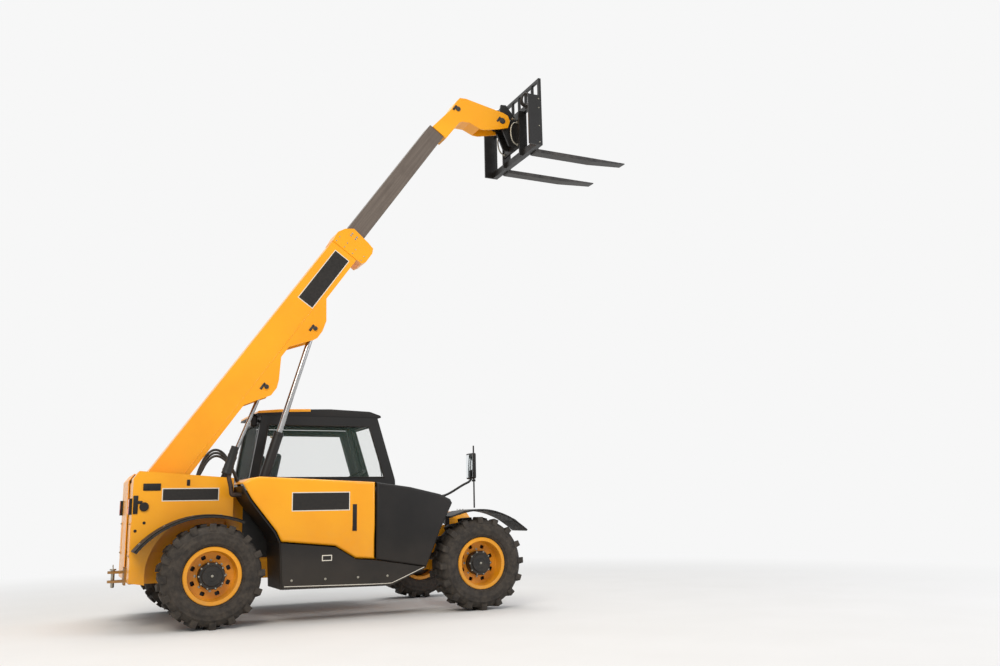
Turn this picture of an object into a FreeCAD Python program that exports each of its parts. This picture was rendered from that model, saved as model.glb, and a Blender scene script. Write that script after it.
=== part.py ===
import FreeCAD
import Part
import Sketcher
import math
import os
from FreeCAD import Placement, Rotation, Vector

os.makedirs("parts", exist_ok=True)
doc = FreeCAD.newDocument("telehandler")
sheet = doc.addObject("Spreadsheet::Sheet", "sizes")

# Driving dimensions in millimetres and degrees.
# X runs forward from the rear axle, Y to the machine's left, Z up from the ground.
SIZES = [
    ("wheel_base", 2340), ("track", 1530), ("steer_offset", 165),
    ("tyre_radius", 409), ("tyre_width", 310), ("lug_height", 24), ("lug_width", 40), ("lug_lean", 28), ("lug_count", 16),
    ("tyre_shoulder", 40), ("bead_depth", 41), ("bead_slope", 36), ("bead_radius", 234),
    ("rim_radius", 206), ("rim_flange", 228), ("rim_width", 256), ("rim_wall", 10), ("hub_radius", 106),
    ("hub_reach", 108), ("stub_radius", 32), ("stub_reach", 40), ("kingpin_radius", 26), ("seat_gap", 0.3),
    ("run_fit", 0.05), ("knuckle_half", 72), ("yoke_plate", 26), ("axle_tube", 74), ("axle_drop", 150),
    ("frame_half", 372), ("frame_plate", 20), ("frame_bottom", 345), ("frame_top", 600),
    ("frame_rear", 580), ("frame_front", 2600), ("frame_arch", 560), ("axle_gap", 190),
    ("boom_side", 200), ("boom_half", 125), ("boom_wall", 12), ("boom_floor", 150), ("boom_angle", 54.6),
    ("pivot_x", -437), ("pivot_z", 1122), ("pivot_pin", 38), ("boom_top", 100), ("boom_bottom", -188),
    ("boom_front", 2776), ("collar_front", 3012), ("collar_half", 133), ("tower_gap", 20), ("tower_plate", 25),
    ("tower_top", 1240), ("tower_front", 460),
    ("lift_x", 290), ("lift_z", 480), ("lift_barrel", 46), ("lift_rod", 27), ("lift_body", 1180), ("ear_low", 430),
    ("lift_side", 250), ("lift_pin_x", 1977), ("lift_pin_z", -275), ("lift_rod_length", 1225), ("lift_eye", 33),
    ("comp_x", -26), ("comp_z", 665), ("comp_barrel", 33), ("comp_rod", 19), ("comp_body", 790),
    ("comp_side", 140), ("comp_pin_x", 1265), ("comp_pin_z", -246), ("comp_rod_length", 815), ("comp_eye", 33),
    ("ram_pin", 20), ("inner_half", 88), ("inner_top", 60), ("inner_bottom", -122), ("inner_wall", 9),
    ("inner_rear", 2300), ("head_rear", 4490), ("head_half", 100), ("head_plate", 12),
    ("head_pin_x", 5120), ("head_pin_z", -510), ("head_pin", 25),
    ("tilt_x", 4857), ("tilt_z", -62), ("tilt_barrel", 37), ("tilt_rod", 18), ("tilt_body", 376), ("tilt_eye", 29),
    ("tilt_rod_length", 360), ("tilt_arm_x", 34), ("tilt_arm_z", 160), ("ear_inner", 58), ("ear_plate", 22),
    ("carriage_half", 550), ("carriage_back", 85), ("carriage_front", 240), ("carriage_low", -410),
    ("carriage_high", 140), ("fork_thick", 40), ("fork_width", 110), ("fork_spread", 330), ("fork_length", 1120),
    ("fork_low", -425), ("guard_top", 335), ("guard_bar", 30),
    ("body_half", 920), ("pod_inner", 400), ("panel_half", 560), ("skin", 8), ("arch_radius", 480),
    ("panel_rear", 596), ("panel_front", 198), ("pod_top", 1188), ("bonnet_front", 1332), ("pod_rear", 548), ("sill_bottom", 262), ("sill_depth", 200), ("nose_outer", 130),
    ("cab_right", 50), ("cab_left", 885), ("cab_roof", 1795), ("cab_post", 55),
    ("cab_rear", 440), ("cab_front", 1848), ("roof_rise", 73), ("glass", 6), ("door_gap", 6), ("door_thick", 34), ("hinge_radius", 15), ("hinge_pin", 7), ("lid_hinge", 1118),
    ("hitch_rear", 720), ("hitch_bore", 16), ("fender_thick", 14), ("wheel_tilt", 32), ("column", 140),
    ("exhaust_x", 150), ("exhaust_y", 750), ("exhaust_z", 1044), ("exhaust_pipe", 19), ("exhaust_shield", 42),
]


class Size:
    # A number together with the sheet formula that gives it.
    def __init__(self, value, text):
        self.value = float(value)
        self.text = text

    def __float__(self):
        return self.value

    def __add__(self, other):
        other = as_size(other)
        return Size(self.value + other.value, "(%s + %s)" % (self.text, other.text))

    def __sub__(self, other):
        other = as_size(other)
        return Size(self.value - other.value, "(%s - %s)" % (self.text, other.text))

    def __mul__(self, other):
        other = as_size(other)
        return Size(self.value * other.value, "(%s * %s)" % (self.text, other.text))

    def __truediv__(self, other):
        other = as_size(other)
        return Size(self.value / other.value, "(%s / %s)" % (self.text, other.text))

    def __radd__(self, other):
        return as_size(other) + self

    def __rsub__(self, other):
        return as_size(other) - self

    def __rmul__(self, other):
        return as_size(other) * self

    def __rtruediv__(self, other):
        return as_size(other) / self

    def __neg__(self):
        return Size(-self.value, "(0 - %s)" % self.text)


def as_size(value):
    if isinstance(value, Size):
        return value
    return Size(value, "(%r)" % float(value))


def cosine(angle):
    return Size(math.cos(math.radians(angle.value)), "cos(%s)" % angle.text)


def sine(angle):
    return Size(math.sin(math.radians(angle.value)), "sin(%s)" % angle.text)


def bearing(rise, run):
    value = math.degrees(math.atan2(float(rise), float(run)))
    return Size(value, "atan2(%s; %s)" % (as_size(rise).text, as_size(run).text))


def lesser(first, second):
    first, second = as_size(first), as_size(second)
    return Size(min(first.value, second.value), "min(%s; %s)" % (first.text, second.text))


class Table:
    pass


s = Table()
for row, (alias, value) in enumerate(SIZES, 1):
    sheet.set("A%d" % row, alias)
    sheet.set("B%d" % row, str(value))
    sheet.setAlias("B%d" % row, alias)
    setattr(s, alias, Size(value, "sizes." + alias))
doc.recompute()

NODES = []


def bind(target, path, value):
    if isinstance(value, Size):
        target.setExpression(path, value.text)


def place(item, x=0, y=0, z=0, axis=None, angle=0):
    spin = Rotation(Vector(*axis), float(angle)) if axis else Rotation()
    item.Placement = Placement(Vector(float(x), float(y), float(z)), spin)
    bind(item, "Placement.Base.x", x)
    bind(item, "Placement.Base.y", y)
    bind(item, "Placement.Base.z", z)
    bind(item, "Placement.Rotation.Angle", angle)


def new_body(label):
    body = doc.addObject("PartDesign::Body", label)
    body.Label = label
    body.AllowCompound = True
    NODES.append(body)
    return body


def origin_of(body, role):
    return [item for item in body.Origin.OriginFeatures if item.Role == role][0]


def sketch(body, plane, loops, offset=0):
    # Each loop is a list of corners, or a circle given as (centre, centre, radius).
    flat = body.newObject("Sketcher::SketchObject", body.Name + "_sketch")
    flat.AttachmentSupport = [(origin_of(body, plane + "_Plane"), "")]
    flat.MapMode = "FlatFace"
    flat.AttachmentOffset = Placement(Vector(0, 0, float(offset)), Rotation())
    bind(flat, "AttachmentOffset.Base.z", offset)
    for loop in loops:
        start = flat.GeometryCount
        rules = []
        held = []
        if isinstance(loop, tuple):
            centre = Vector(float(loop[0]), float(loop[1]), 0)
            flat.addGeometry(Part.Circle(centre, Vector(0, 0, 1), float(loop[2])), False)
            held = [("DistanceX", start, 3, loop[0]), ("DistanceY", start, 3, loop[1])]
            rules.append(Sketcher.Constraint("Radius", start, float(loop[2])))
        else:
            corners = [Vector(float(a), float(b), 0) for a, b in loop]
            count = len(corners)
            lines = [Part.LineSegment(corners[i], corners[(i + 1) % count]) for i in range(count)]
            flat.addGeometry(lines, False)
            for i, corner in enumerate(loop):
                rules.append(Sketcher.Constraint("Coincident", start + i, 2, start + (i + 1) % count, 1))
                held.append(("DistanceX", start + i, 1, corner[0]))
                held.append(("DistanceY", start + i, 1, corner[1]))
        first = len(rules)
        for kind, edge, end, value in held:
            rules.append(Sketcher.Constraint(kind, -1, 1, edge, end, float(value)))
        made = flat.addConstraint(rules)
        if isinstance(loop, tuple):
            bind(flat, "Constraints[%d]" % made[0], loop[2])
        for index, (kind, edge, end, value) in enumerate(held):
            bind(flat, "Constraints[%d]" % made[first + index], value)
    return flat


def grow(body, plane, loops, depth, offset=0):
    # Adds material on both sides of the sketch plane.
    pad = body.newObject("PartDesign::Pad", body.Name + "_pad")
    pad.Profile = sketch(body, plane, loops, offset)
    pad.Midplane = True
    pad.Length = float(depth)
    bind(pad, "Length", depth)
    body.Tip = pad
    return pad


def cut(body, plane, loops, depth, offset=0):
    # Takes material away on both sides of the sketch plane.
    pocket = body.newObject("PartDesign::Pocket", body.Name + "_pocket")
    pocket.Profile = sketch(body, plane, loops, offset)
    pocket.Midplane = True
    pocket.Length = float(depth)
    bind(pocket, "Length", depth)
    body.Tip = pocket
    return pocket


def prism(body, plane, sides, reach, depth, offset=0, x=0, y=0, kind="Additive"):
    # A bar with equal flats, each at the given reach from its axis, on both sides of a plane.
    bar = body.newObject("PartDesign::%sPrism" % kind, body.Name + "_prism")
    bar.AttachmentSupport = [(origin_of(body, plane + "_Plane"), "")]
    bar.MapMode = "FlatFace"
    half_turn = 180 / sides if isinstance(sides, Size) else as_size(180) / sides
    corner = reach / cosine(half_turn)
    low = offset - depth / 2
    bar.Polygon = int(float(sides))
    bar.Circumradius = float(corner)
    bar.Height = float(depth)
    spin = Rotation(Vector(0, 0, 1), float(half_turn))
    bar.AttachmentOffset = Placement(Vector(float(x), float(y), float(low)), spin)
    bind(bar, "Polygon", sides)
    bind(bar, "Circumradius", corner)
    bind(bar, "Height", depth)
    bind(bar, "AttachmentOffset.Base.x", x)
    bind(bar, "AttachmentOffset.Base.y", y)
    bind(bar, "AttachmentOffset.Base.z", low)
    bind(bar, "AttachmentOffset.Rotation.Angle", half_turn)
    body.Tip = bar
    return bar


def bevel(body, size, level, near, far):
    # Slopes the edges that lie at one height on both sides, between two distances from the axle.
    doc.recompute()
    names = []
    solid = body.Tip
    for number, edge in enumerate(solid.Shape.Edges, 1):
        middle = body.Placement.inverse().multVec(edge.CenterOfMass)
        span = math.hypot(middle.x, middle.z)
        if abs(abs(middle.y) - float(level)) < 0.2 and float(near) < span < float(far):
            names.append("Edge%d" % number)
    slope = body.newObject("PartDesign::Chamfer", body.Name + "_slope")
    slope.Base = (solid, names)
    slope.Size = float(size)
    bind(slope, "Size", size)
    body.Tip = slope
    return slope


def ring_of(body, feature, axis, count):
    ring = body.newObject("PartDesign::PolarPattern", body.Name + "_ring")
    ring.Originals = [feature]
    ring.Axis = (origin_of(body, axis), [""])
    ring.Angle = 360
    ring.Occurrences = int(float(count))
    bind(ring, "Occurrences", count)
    body.Tip = ring
    return ring


def mirrored(body, features, plane):
    copy = body.newObject("PartDesign::Mirrored", body.Name + "_mirrored")
    copy.Originals = features
    copy.MirrorPlane = (origin_of(body, plane + "_Plane"), [""])
    body.Tip = copy
    return copy


def inset(loop, gap):
    # The same outline drawn inward by a gap, or outward by a negative one.
    spots = [(float(a), float(b)) for a, b in loop]
    count = len(spots)
    area = sum(spots[i][0] * spots[(i + 1) % count][1] - spots[(i + 1) % count][0] * spots[i][1] for i in range(count))
    sign = 1 if area > 0 else -1
    normals = []
    for i in range(count):
        dx = spots[(i + 1) % count][0] - spots[i][0]
        dz = spots[(i + 1) % count][1] - spots[i][1]
        length = math.hypot(dx, dz)
        normals.append((-dz / length * sign, dx / length * sign))
    result = []
    for i, (a, b) in enumerate(loop):
        before, after = normals[i - 1], normals[i]
        scale = 1 + before[0] * after[0] + before[1] * after[1]
        result.append((a + gap * ((before[0] + after[0]) / scale), b + gap * ((before[1] + after[1]) / scale)))
    return result


def box(x0, x1, z0, z1):
    return [(x0, z0), (x1, z0), (x1, z1), (x0, z1)]


# The whole machine stands on the middle of its own outline.
fork_tip = s.pivot_x + s.head_pin_x * cosine(s.boom_angle) - s.head_pin_z * sine(s.boom_angle)
fork_tip = fork_tip + s.carriage_front + s.fork_length
origin_x = (fork_tip - s.hitch_rear) / 2
half_track = s.track / 2
front_x = s.wheel_base - origin_x


def on_chassis(label):
    body = new_body(label)
    place(body, -origin_x)
    return body


# Tyres: a tubeless carcass with slanted bars that meet at the middle, one bar on each flat.
def make_tyre(label, x, side):
    body = new_body(label)
    half = s.tyre_width / 2
    tread = s.tyre_radius - s.lug_height
    prism(body, "XZ", s.lug_count * 2, tread, s.tyre_width)
    bevel(body, s.tyre_shoulder, half, tread - 20, tread + 20)
    for hand in (1, -1):
        prism(body, "XZ", 24, s.bead_radius, s.bead_depth, (half - s.bead_depth / 2) * hand, kind="Subtractive")
    bevel(body, s.bead_slope, half, s.bead_radius - 20, s.bead_radius + 20)
    prism(body, "XZ", 24, s.rim_radius + s.seat_gap, s.tyre_width, kind="Subtractive")
    run = (s.lug_width + s.lug_lean) / 2
    turn_half = 180 / s.lug_count
    crown = lesser(s.tyre_radius, (s.tyre_radius - run * sine(turn_half)) / cosine(turn_half))
    height = crown - tread + s.tyre_shoulder + 5
    middle = crown - height / 2
    reach = half - 6
    for hand in (1, -1):
        bar = [(-run, -10 * hand), (-run + s.lug_width, -10 * hand), (run, reach * hand), (run - s.lug_width, reach * hand)]
        lug = grow(body, "XY", [bar], height, middle)
        if hand < 0:
            flat = lug.Profile[0]
            up = math.radians(float(turn_half))
            spot = Vector(float(middle) * math.sin(up), 0, float(middle) * math.cos(up))
            flat.AttachmentOffset = Placement(spot, Rotation(Vector(0, 1, 0), float(turn_half)))
            bind(flat, "AttachmentOffset.Base.x", middle * sine(turn_half))
            bind(flat, "AttachmentOffset.Base.z", middle * cosine(turn_half))
            bind(flat, "AttachmentOffset.Rotation.Angle", turn_half)
        ring_of(body, lug, "Y_Axis", s.lug_count)
    place(body, x, half_track * side, s.tyre_radius, (0, 0, 1), 0 if side > 0 else 180)
    return body


# Rims: flanged barrel, disc with hand holes, and the drum of the hub with its cap.
def make_rim(label, x, side):
    body = new_body(label)
    half = s.rim_width / 2
    lip = s.tyre_width / 2 - s.bead_depth + s.seat_gap
    wall = s.rim_radius - s.rim_wall
    drum = s.hub_radius
    prism(body, "XZ", 24, s.rim_radius, s.rim_width)
    for hand in (1, -1):
        prism(body, "XZ", 24, s.rim_flange, half - lip, (half + lip) / 2 * hand)
        prism(body, "XZ", 24, wall, half - 8, (half + 8) / 2 * hand, kind="Subtractive")
    prism(body, "XZ", 12, drum, s.hub_reach, 14 - s.hub_reach / 2)
    prism(body, "XZ", 12, drum - 26, 14, 7 - s.hub_reach)
    cut(body, "XZ", [(0, 0, s.stub_radius + s.run_fit)], 60, 0)
    hole = cut(body, "XZ", [box(-17, 17, drum + 26, drum + 60)], 60)
    ring_of(body, hole, "Y_Axis", 8)
    place(body, x, half_track * side, s.tyre_radius, (0, 0, 1), 0 if side > 0 else 180)
    return body


# Knuckles: the kingpin block between the yoke's plates, with flange and stub shaft.
def make_knuckle(label, x, side):
    body = new_body(label)
    pin = s.kingpin_radius + s.run_fit
    block = s.knuckle_half - s.seat_gap
    prism(body, "XY", 12, 48, block * 2)
    flange = s.steer_offset - 14 - 34
    grow(body, "YZ", [box(20, flange + 10, -54, 54)], 80)
    prism(body, "XZ", 12, 96, 20, -flange - 10)
    stub = s.steer_offset + s.stub_reach - 14 - flange
    grow(body, "XZ", [(0, 0, s.stub_radius)], stub, -flange - stub / 2)
    cut(body, "XY", [(0, 0, pin)], 400)
    place(body, x, (half_track - s.steer_offset) * side, s.tyre_radius, (0, 0, 1), 0 if side > 0 else 180)
    return body


for end, where in (("front", front_x), ("rear", -origin_x)):
    for hand, side in (("left", 1), ("right", -1)):
        make_tyre("tyre_%s_%s" % (end, hand), where, side)
        make_rim("rim_%s_%s" % (end, hand), where, side)
        make_knuckle("knuckle_%s_%s" % (end, hand), where, side)


# Axles: banjo housing on a tube, a yoke with its kingpin at each end, and pads under the frame.
def make_axle(label, x):
    body = new_body(label)
    king = half_track - s.steer_offset
    arm = king - 96
    prism(body, "XZ", 12, s.axle_tube, arm * 2)
    for reach, width in ((s.axle_drop, 140), (s.axle_drop - 36, 250)):
        prism(body, "XZ", 12, reach, width)
    high = s.knuckle_half + s.yoke_plate
    loops = [[(arm - 10, -high), (king + 40, -high), (king + 40, -s.knuckle_half), (king - 56, -s.knuckle_half),
              (king - 56, s.knuckle_half), (king + 40, s.knuckle_half), (king + 40, high), (arm - 10, high)]]
    yoke = grow(body, "YZ", loops, 84)
    pin = grow(body, "XY", [(0, king, s.kingpin_radius)], s.knuckle_half * 2 + 20)
    pads = s.frame_half - s.frame_plate / 2
    seat = s.frame_arch - s.seat_gap - s.tyre_radius
    pad = grow(body, "YZ", [box(pads - 30, pads + 30, 0, seat)], 180)
    mirrored(body, [yoke, pin, pad], "XZ")
    place(body, x, 0, s.tyre_radius)
    return body


make_axle("axle_front", front_x)
make_axle("axle_rear", -origin_x)

shaft = on_chassis("drive_shaft")
shaft_long = s.wheel_base - (s.axle_drop + s.seat_gap) * 2
prism(shaft, "YZ", 12, 26, shaft_long, s.wheel_base / 2)
for hand in (-1, 1):
    prism(shaft, "YZ", 8, 44, 54, s.wheel_base / 2 + (shaft_long / 2 - 27) * hand)
place(shaft, -origin_x, 0, s.tyre_radius)

# Main frame: two long plates tied by cross plates, arched over both axles.
frame = on_chassis("main_frame")
low, high = s.frame_bottom, s.frame_top
gap = s.axle_gap
side_view = [(-s.frame_rear, low), (-gap - 40, low), (-gap + 20, s.frame_arch), (gap - 20, s.frame_arch),
             (gap + 40, low), (s.wheel_base - gap - 40, low), (s.wheel_base - gap + 20, s.frame_arch),
             (s.wheel_base + gap - 20, s.frame_arch), (s.wheel_base + gap + 10, s.frame_arch - 90),
             (s.frame_front, s.frame_arch - 90),
             (s.frame_front, high + 40), (s.wheel_base + 80, high + 150), (s.wheel_base - 160, high + 150),
             (s.wheel_base - 330, high), (-s.frame_rear, high)]
grow(frame, "XZ", [side_view], s.frame_half * 2)
inside = s.frame_half - s.frame_plate
bays = [(-s.frame_rear + 20, -gap - 60), (-gap - 40, gap + 10), (gap + 30, s.wheel_base / 2 - 10),
        (s.wheel_base / 2 + 10, s.wheel_base - gap - 60), (s.wheel_base - gap - 40, s.wheel_base + gap + 20),
        (s.wheel_base + gap + 40, s.frame_front - 20)]
cut(frame, "XY", [box(a, b, -inside, inside) for a, b in bays], 1000, high)
cut(frame, "XZ", [box(s.wheel_base - 340, s.frame_front + 10, high, high + 200)], inside * 2)
cut(frame, "YZ", [box(-inside + 60, inside - 60, low - 10, s.tyre_radius + 60)], s.wheel_base + 300, s.wheel_base / 2)
for spot in (740, 1420):
    grow(frame, "YZ", [box(-s.body_half + s.skin + s.seat_gap, -s.frame_half, 300, 400)], 80, spot)

# Tower: two plates beside the boom's foot that carry its pin and the feet of both rams.
tower = on_chassis("boom_tower")
plate_out = s.boom_half + s.tower_gap + s.tower_plate
outline = [(-s.frame_rear - 2, s.frame_top + s.seat_gap), (s.tower_front, s.frame_top + s.seat_gap),
           (s.tower_front, 800), (363, 840), (148, 910), (s.pivot_x + 150, s.tower_top - 10),
           (s.pivot_x - 40, s.tower_top), (-s.frame_rear + 40, s.tower_top - 20), (-s.frame_rear - 2, s.tower_top - 80)]
grow(tower, "XZ", [outline], plate_out * 2, s.boom_side)
clear = plate_out - s.tower_plate
cut(tower, "XY", [box(-s.frame_rear + 18, s.tower_front + 10, -s.boom_side - clear, -s.boom_side + clear)],
    3000, 0)
base_top = s.frame_top + 20
grow(tower, "XZ", [box(-s.frame_rear + 17, s.lift_x - 60, s.frame_top + s.seat_gap, base_top)], plate_out * 2, s.boom_side)

# The foot of the lift ram hangs between two ears that reach down inside the frame.
ear_plate = s.tower_plate - s.seat_gap
ear_out = inside - s.seat_gap
grow(tower, "XZ", [box(s.lift_x - 62, s.lift_x + 60, s.frame_top + s.seat_gap, base_top)], 44, plate_out + s.boom_side - 22)
for middle, thick in ((ear_out - ear_plate / 2, ear_plate), (s.boom_side - clear - s.tower_plate / 2, s.tower_plate)):
    grow(tower, "XZ", [[(s.lift_x - 60, base_top), (s.lift_x - 60, s.ear_low + 22), (s.lift_x - 38, s.ear_low),
                        (s.lift_x + 38, s.ear_low), (s.lift_x + 60, s.ear_low + 22), (s.lift_x + 60, base_top)]],
         thick, middle)
grow(tower, "XZ", [(s.pivot_x, s.pivot_z, s.pivot_pin)], clear * 2 + 20, s.boom_side)
ear_gap = ear_out - ear_plate - (s.boom_side - clear)
grow(tower, "XZ", [(s.lift_x, s.lift_z, s.ram_pin + 4)], ear_gap + 20, ear_out - ear_plate - ear_gap / 2)
grow(tower, "XZ", [(s.comp_x, s.comp_z, s.ram_pin)], clear * 2 + 20, s.boom_side)


# Rear panels: skins with a wheel arch, a rear wall and a sloping top.
def rear_panel(label, low_y, high_y, side):
    body = on_chassis(label)
    rear = -s.panel_rear
    t = s.skin
    front = s.panel_front
    edge = [(rear, 365), (rear, 1190), (rear + 45, 1250), (front, 1190), (front, s.frame_top + 1), (-430, 335)]
    grow(body, "XZ", [edge], t, (s.panel_half - t / 2) * -side)
    band = [(rear, 365), (rear, 1190), (rear + 45, 1250), (front, 1190), (front, 1190 - t), (rear + 45, 1250 - t),
            (rear + t, 1187), (rear + t, 365)]
    grow(body, "XZ", [band], high_y - low_y, -(high_y + low_y) / 2)
    cut(body, "YZ", [box(-75 - s.door_gap, 75 + s.door_gap, 300, 460 + s.door_gap)], 60, rear)
    cut(body, "XZ", [(0, s.tyre_radius, s.arch_radius)], 3000)
    return body


right_in = s.boom_side + plate_out + s.seat_gap
rear_panel("rear_panel_right", -s.panel_half, -right_in, -1)
rear_panel("rear_panel_left", plate_out - s.boom_side + s.seat_gap, s.panel_half, 1)

ballast = on_chassis("counterweight")
grow(ballast, "XZ", [[(-s.frame_rear + 20 + s.seat_gap, 350), (-gap - 62, 350), (-gap - 62, s.frame_top - 5),
                      (-s.frame_rear + 20 + s.seat_gap, s.frame_top - 5)]], (inside - s.seat_gap) * 2)

hitch = on_chassis("tow_hitch")
back = -s.frame_rear - s.seat_gap
for level in (352, 428):
    grow(hitch, "XY", [[(back, -60), (back, 60), (-s.hitch_rear + 25, 40), (-s.hitch_rear, 25),
                        (-s.hitch_rear, -25), (-s.hitch_rear + 25, -40)]], 20, level)
grow(hitch, "XZ", [box(back - 16, back, 320, 460)], 150)
cut(hitch, "XY", [(-s.hitch_rear + 42, 0, s.hitch_bore)], 1200)

# Engine pod on the right: black liner, cover and sill round a yellow bonnet.
pod_out = s.body_half
front_cover = on_chassis("pod_front_cover")
nose = [(s.bonnet_front + 9, 1136), (1654, 1092), (1938, 1027), (2034, 982), (2053, 947), (1935, 713), (1800, 400),
        (s.bonnet_front + 9, 480)]
depth = pod_out - s.pod_inner
mid = (pod_out + s.pod_inner) / 2
grow(front_cover, "XZ", [nose], s.nose_outer, pod_out - s.nose_outer / 2)
set_back = nose[:4] + [(2048, 947), (1895, 713), (1785, 402)] + nose[7:]
inner_depth = depth - s.nose_outer
inner_mid = s.pod_inner + inner_depth / 2
grow(front_cover, "XZ", [set_back], inner_depth, inner_mid)
for shape, width, middle in ((nose, s.nose_outer, pod_out - s.nose_outer / 2 - s.skin), (set_back, inner_depth, inner_mid)):
    shell = inset(shape, s.skin)
    shell[0] = (s.bonnet_front - 20, shell[0][1])
    shell[-1] = (s.bonnet_front - 20, shell[-1][1])
    cut(front_cover, "XZ", [shell], width, middle)

sill = on_chassis("pod_sill")
step = [(s.pod_rear, s.sill_bottom + 14), (1470, s.sill_bottom), (1798, 399), (1326, 478),
        (1159, 493), (984, 598), (s.pod_rear - 22, 647)]
sill_mid = s.body_half - s.sill_depth / 2
grow(sill, "XZ", [step], s.sill_depth, sill_mid)
cut(sill, "XZ", [inset(step, s.skin)], s.sill_depth, sill_mid - s.skin)

liner = on_chassis("pod_rear_liner")
behind = [(201, 1112), (267, 992), (362, 870), (472, 731), (s.pod_rear - 32, 649), (s.pod_rear - 12, s.sill_bottom + 14),
          (s.pod_rear - s.seat_gap, s.sill_bottom + 14), (s.pod_rear - 22 - s.seat_gap, 647), (482, 738), (372, 877),
          (278, 999), (213, 1112)]
grow(liner, "XZ", [behind], depth - 20, mid)

wall_out = s.frame_half + s.seat_gap + s.skin
engine = on_chassis("engine_block")
engine_out = s.body_half - s.sill_depth - 30
grow(engine, "XZ", [box(780, 1680, 491, 990)], engine_out - wall_out - s.seat_gap, (engine_out + wall_out + s.seat_gap) / 2)

bonnet = on_chassis("engine_bonnet")
lid = [(205, 1136), (274, 1176), (346, s.pod_top), (s.bonnet_front, 1137), (s.bonnet_front, 487), (1161, 501),
       (986, 607), (534, 655), (492, 740), (382, 880), (286, 1001)]
grow(bonnet, "XZ", [lid], s.skin, pod_out - s.skin / 2)
cut(bonnet, "XZ", [box(1135, 1160, 735, 944)], s.skin + 2, pod_out)
roof_band = [(205, 1136), (274, 1176), (346, s.pod_top), (s.bonnet_front, 1137), (s.bonnet_front, 1137 - s.skin),
             (346, s.pod_top - s.skin), (276, 1176 - s.skin), (212, 1128)]
grow(bonnet, "XZ", [roof_band], depth, mid)
hinge_line = wall_out + s.hinge_radius
grow(bonnet, "XZ", [[(380, 1100), (1300, 1100), (1300, 1138 - s.skin), (380, s.pod_top - s.skin)]], s.skin,
     s.pod_inner + 10 + s.skin / 2)
wall = on_chassis("engine_bay_wall")
grow(wall, "XZ", [[(300, 520), (1640, 520), (1640, 1050), (1400, 1090), (300, 1090)]], s.skin,
     s.frame_half + s.seat_gap + s.skin / 2)
for spot in (440, 1240):
    grow(bonnet, "YZ", [(-hinge_line, s.lid_hinge, s.hinge_radius - 3)], 60, spot)
    grow(bonnet, "YZ", [box(-s.pod_inner - 12, -hinge_line, s.lid_hinge - 8, s.lid_hinge + 8)], 60, spot)
    cut(bonnet, "YZ", [(-hinge_line, s.lid_hinge, s.hinge_pin + s.run_fit)], 100, spot)
    grow(wall, "YZ", [(-hinge_line, s.lid_hinge, s.hinge_pin)], 112, spot)
    for jump in (-43, 43):
        grow(wall, "YZ", [[(-wall_out + s.skin, 1080), (-wall_out + s.skin, s.lid_hinge + 8), (-hinge_line, s.lid_hinge + 11),
                           (-hinge_line - 11, s.lid_hinge), (-wall_out, 1080)]], 24, spot + jump)

# Fenders: rubber strips on the rear panels, arched blades on posts at the front.
rear_fenders = on_chassis("rear_fenders")
arc_x, arc_z, arc_r = -20, 170, 722
strip = []
for step_angle in range(142, 66, -5):
    a = math.radians(step_angle)
    strip.append((arc_x + arc_r * math.cos(a), arc_z + arc_r * math.sin(a)))
inner_strip = [(x * 0.981, (z - arc_z) * 0.981 + arc_z) for x, z in reversed(strip)]
blade = grow(rear_fenders, "XZ", [strip + inner_strip], 170, s.panel_half + 85 + s.seat_gap)
mirrored(rear_fenders, [blade], "XZ")

front_fenders = on_chassis("front_fenders")
top = [(2035, 830), (2171, 876), (2330, 888), (2440, 878), (2552, 845), (2674, 790), (2797, 695)]
under = [(x - 3, z - s.fender_thick) for x, z in reversed(top)]
blade = grow(front_fenders, "XZ", [top + under], 300, 765)
arm = grow(front_fenders, "XZ", [box(2200, 2240, 842, 870)], 300, s.frame_half + s.seat_gap + 150)
foot = grow(front_fenders, "XZ", [box(2200, 2240, 640, 870)], 16, s.frame_half + s.seat_gap + 8)
mirrored(front_fenders, [blade, arm, foot], "XZ")

s.cab_floor = s.frame_top + s.seat_gap

# Cab: welded shell with posts, floor and openings; separate roof, glass and door.
cab = on_chassis("cab_frame")
cab_mid = -(s.cab_left + s.cab_right) / 2
cab_width = s.cab_left - s.cab_right
post = s.cab_post
side_view = [(s.cab_rear + 60, s.cab_floor), (s.cab_rear, s.cab_floor + 80), (s.cab_rear, 1200),
             (s.cab_rear + 100, s.cab_roof),
             (s.cab_front - 183, s.cab_roof), (s.cab_front, 1190), (s.cab_front + 10, 1020), (1780, 800),
             (1730, s.cab_floor)]
grow(cab, "XZ", [side_view], cab_width, cab_mid)
cavity = [(s.cab_rear + 95, s.cab_floor + 25), (s.cab_rear + 30, s.cab_floor + 105), (s.cab_rear + 30, 1200),
          (s.cab_rear + 130, s.cab_roof - 40),
          (s.cab_front - 220, s.cab_roof - 40), (s.cab_front - 45, 1190), (s.cab_front - 40, 1030), (1750, 805),
          (1705, s.cab_floor + 25)]
cut(cab, "XZ", [cavity], cab_width - 70, cab_mid)
side_window = [(s.cab_rear + 80, 1215), (s.cab_rear + 165, s.cab_roof - 90), (s.cab_front - 265, s.cab_roof - 90),
               (s.cab_front - 110, 1215)]
cut(cab, "XZ", [side_window], 100, -s.cab_right)
door_hole = [(600, 660), (600, 1200), (650, s.cab_roof - 60), (s.cab_front - 260, s.cab_roof - 60),
             (s.cab_front - 100, 1190), (1640, 800), (1640, 660)]
cut(cab, "XZ", [door_hole], 100, -s.cab_left)
cut(cab, "YZ", [box(s.cab_right + post, s.cab_left - post, 1210, s.cab_roof - 65)], 4200, 0)
cut(cab, "XY", [box(s.cab_rear + 190, s.cab_front - 280, s.cab_right + 80, s.cab_left - 80)], 100, s.cab_roof)

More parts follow.
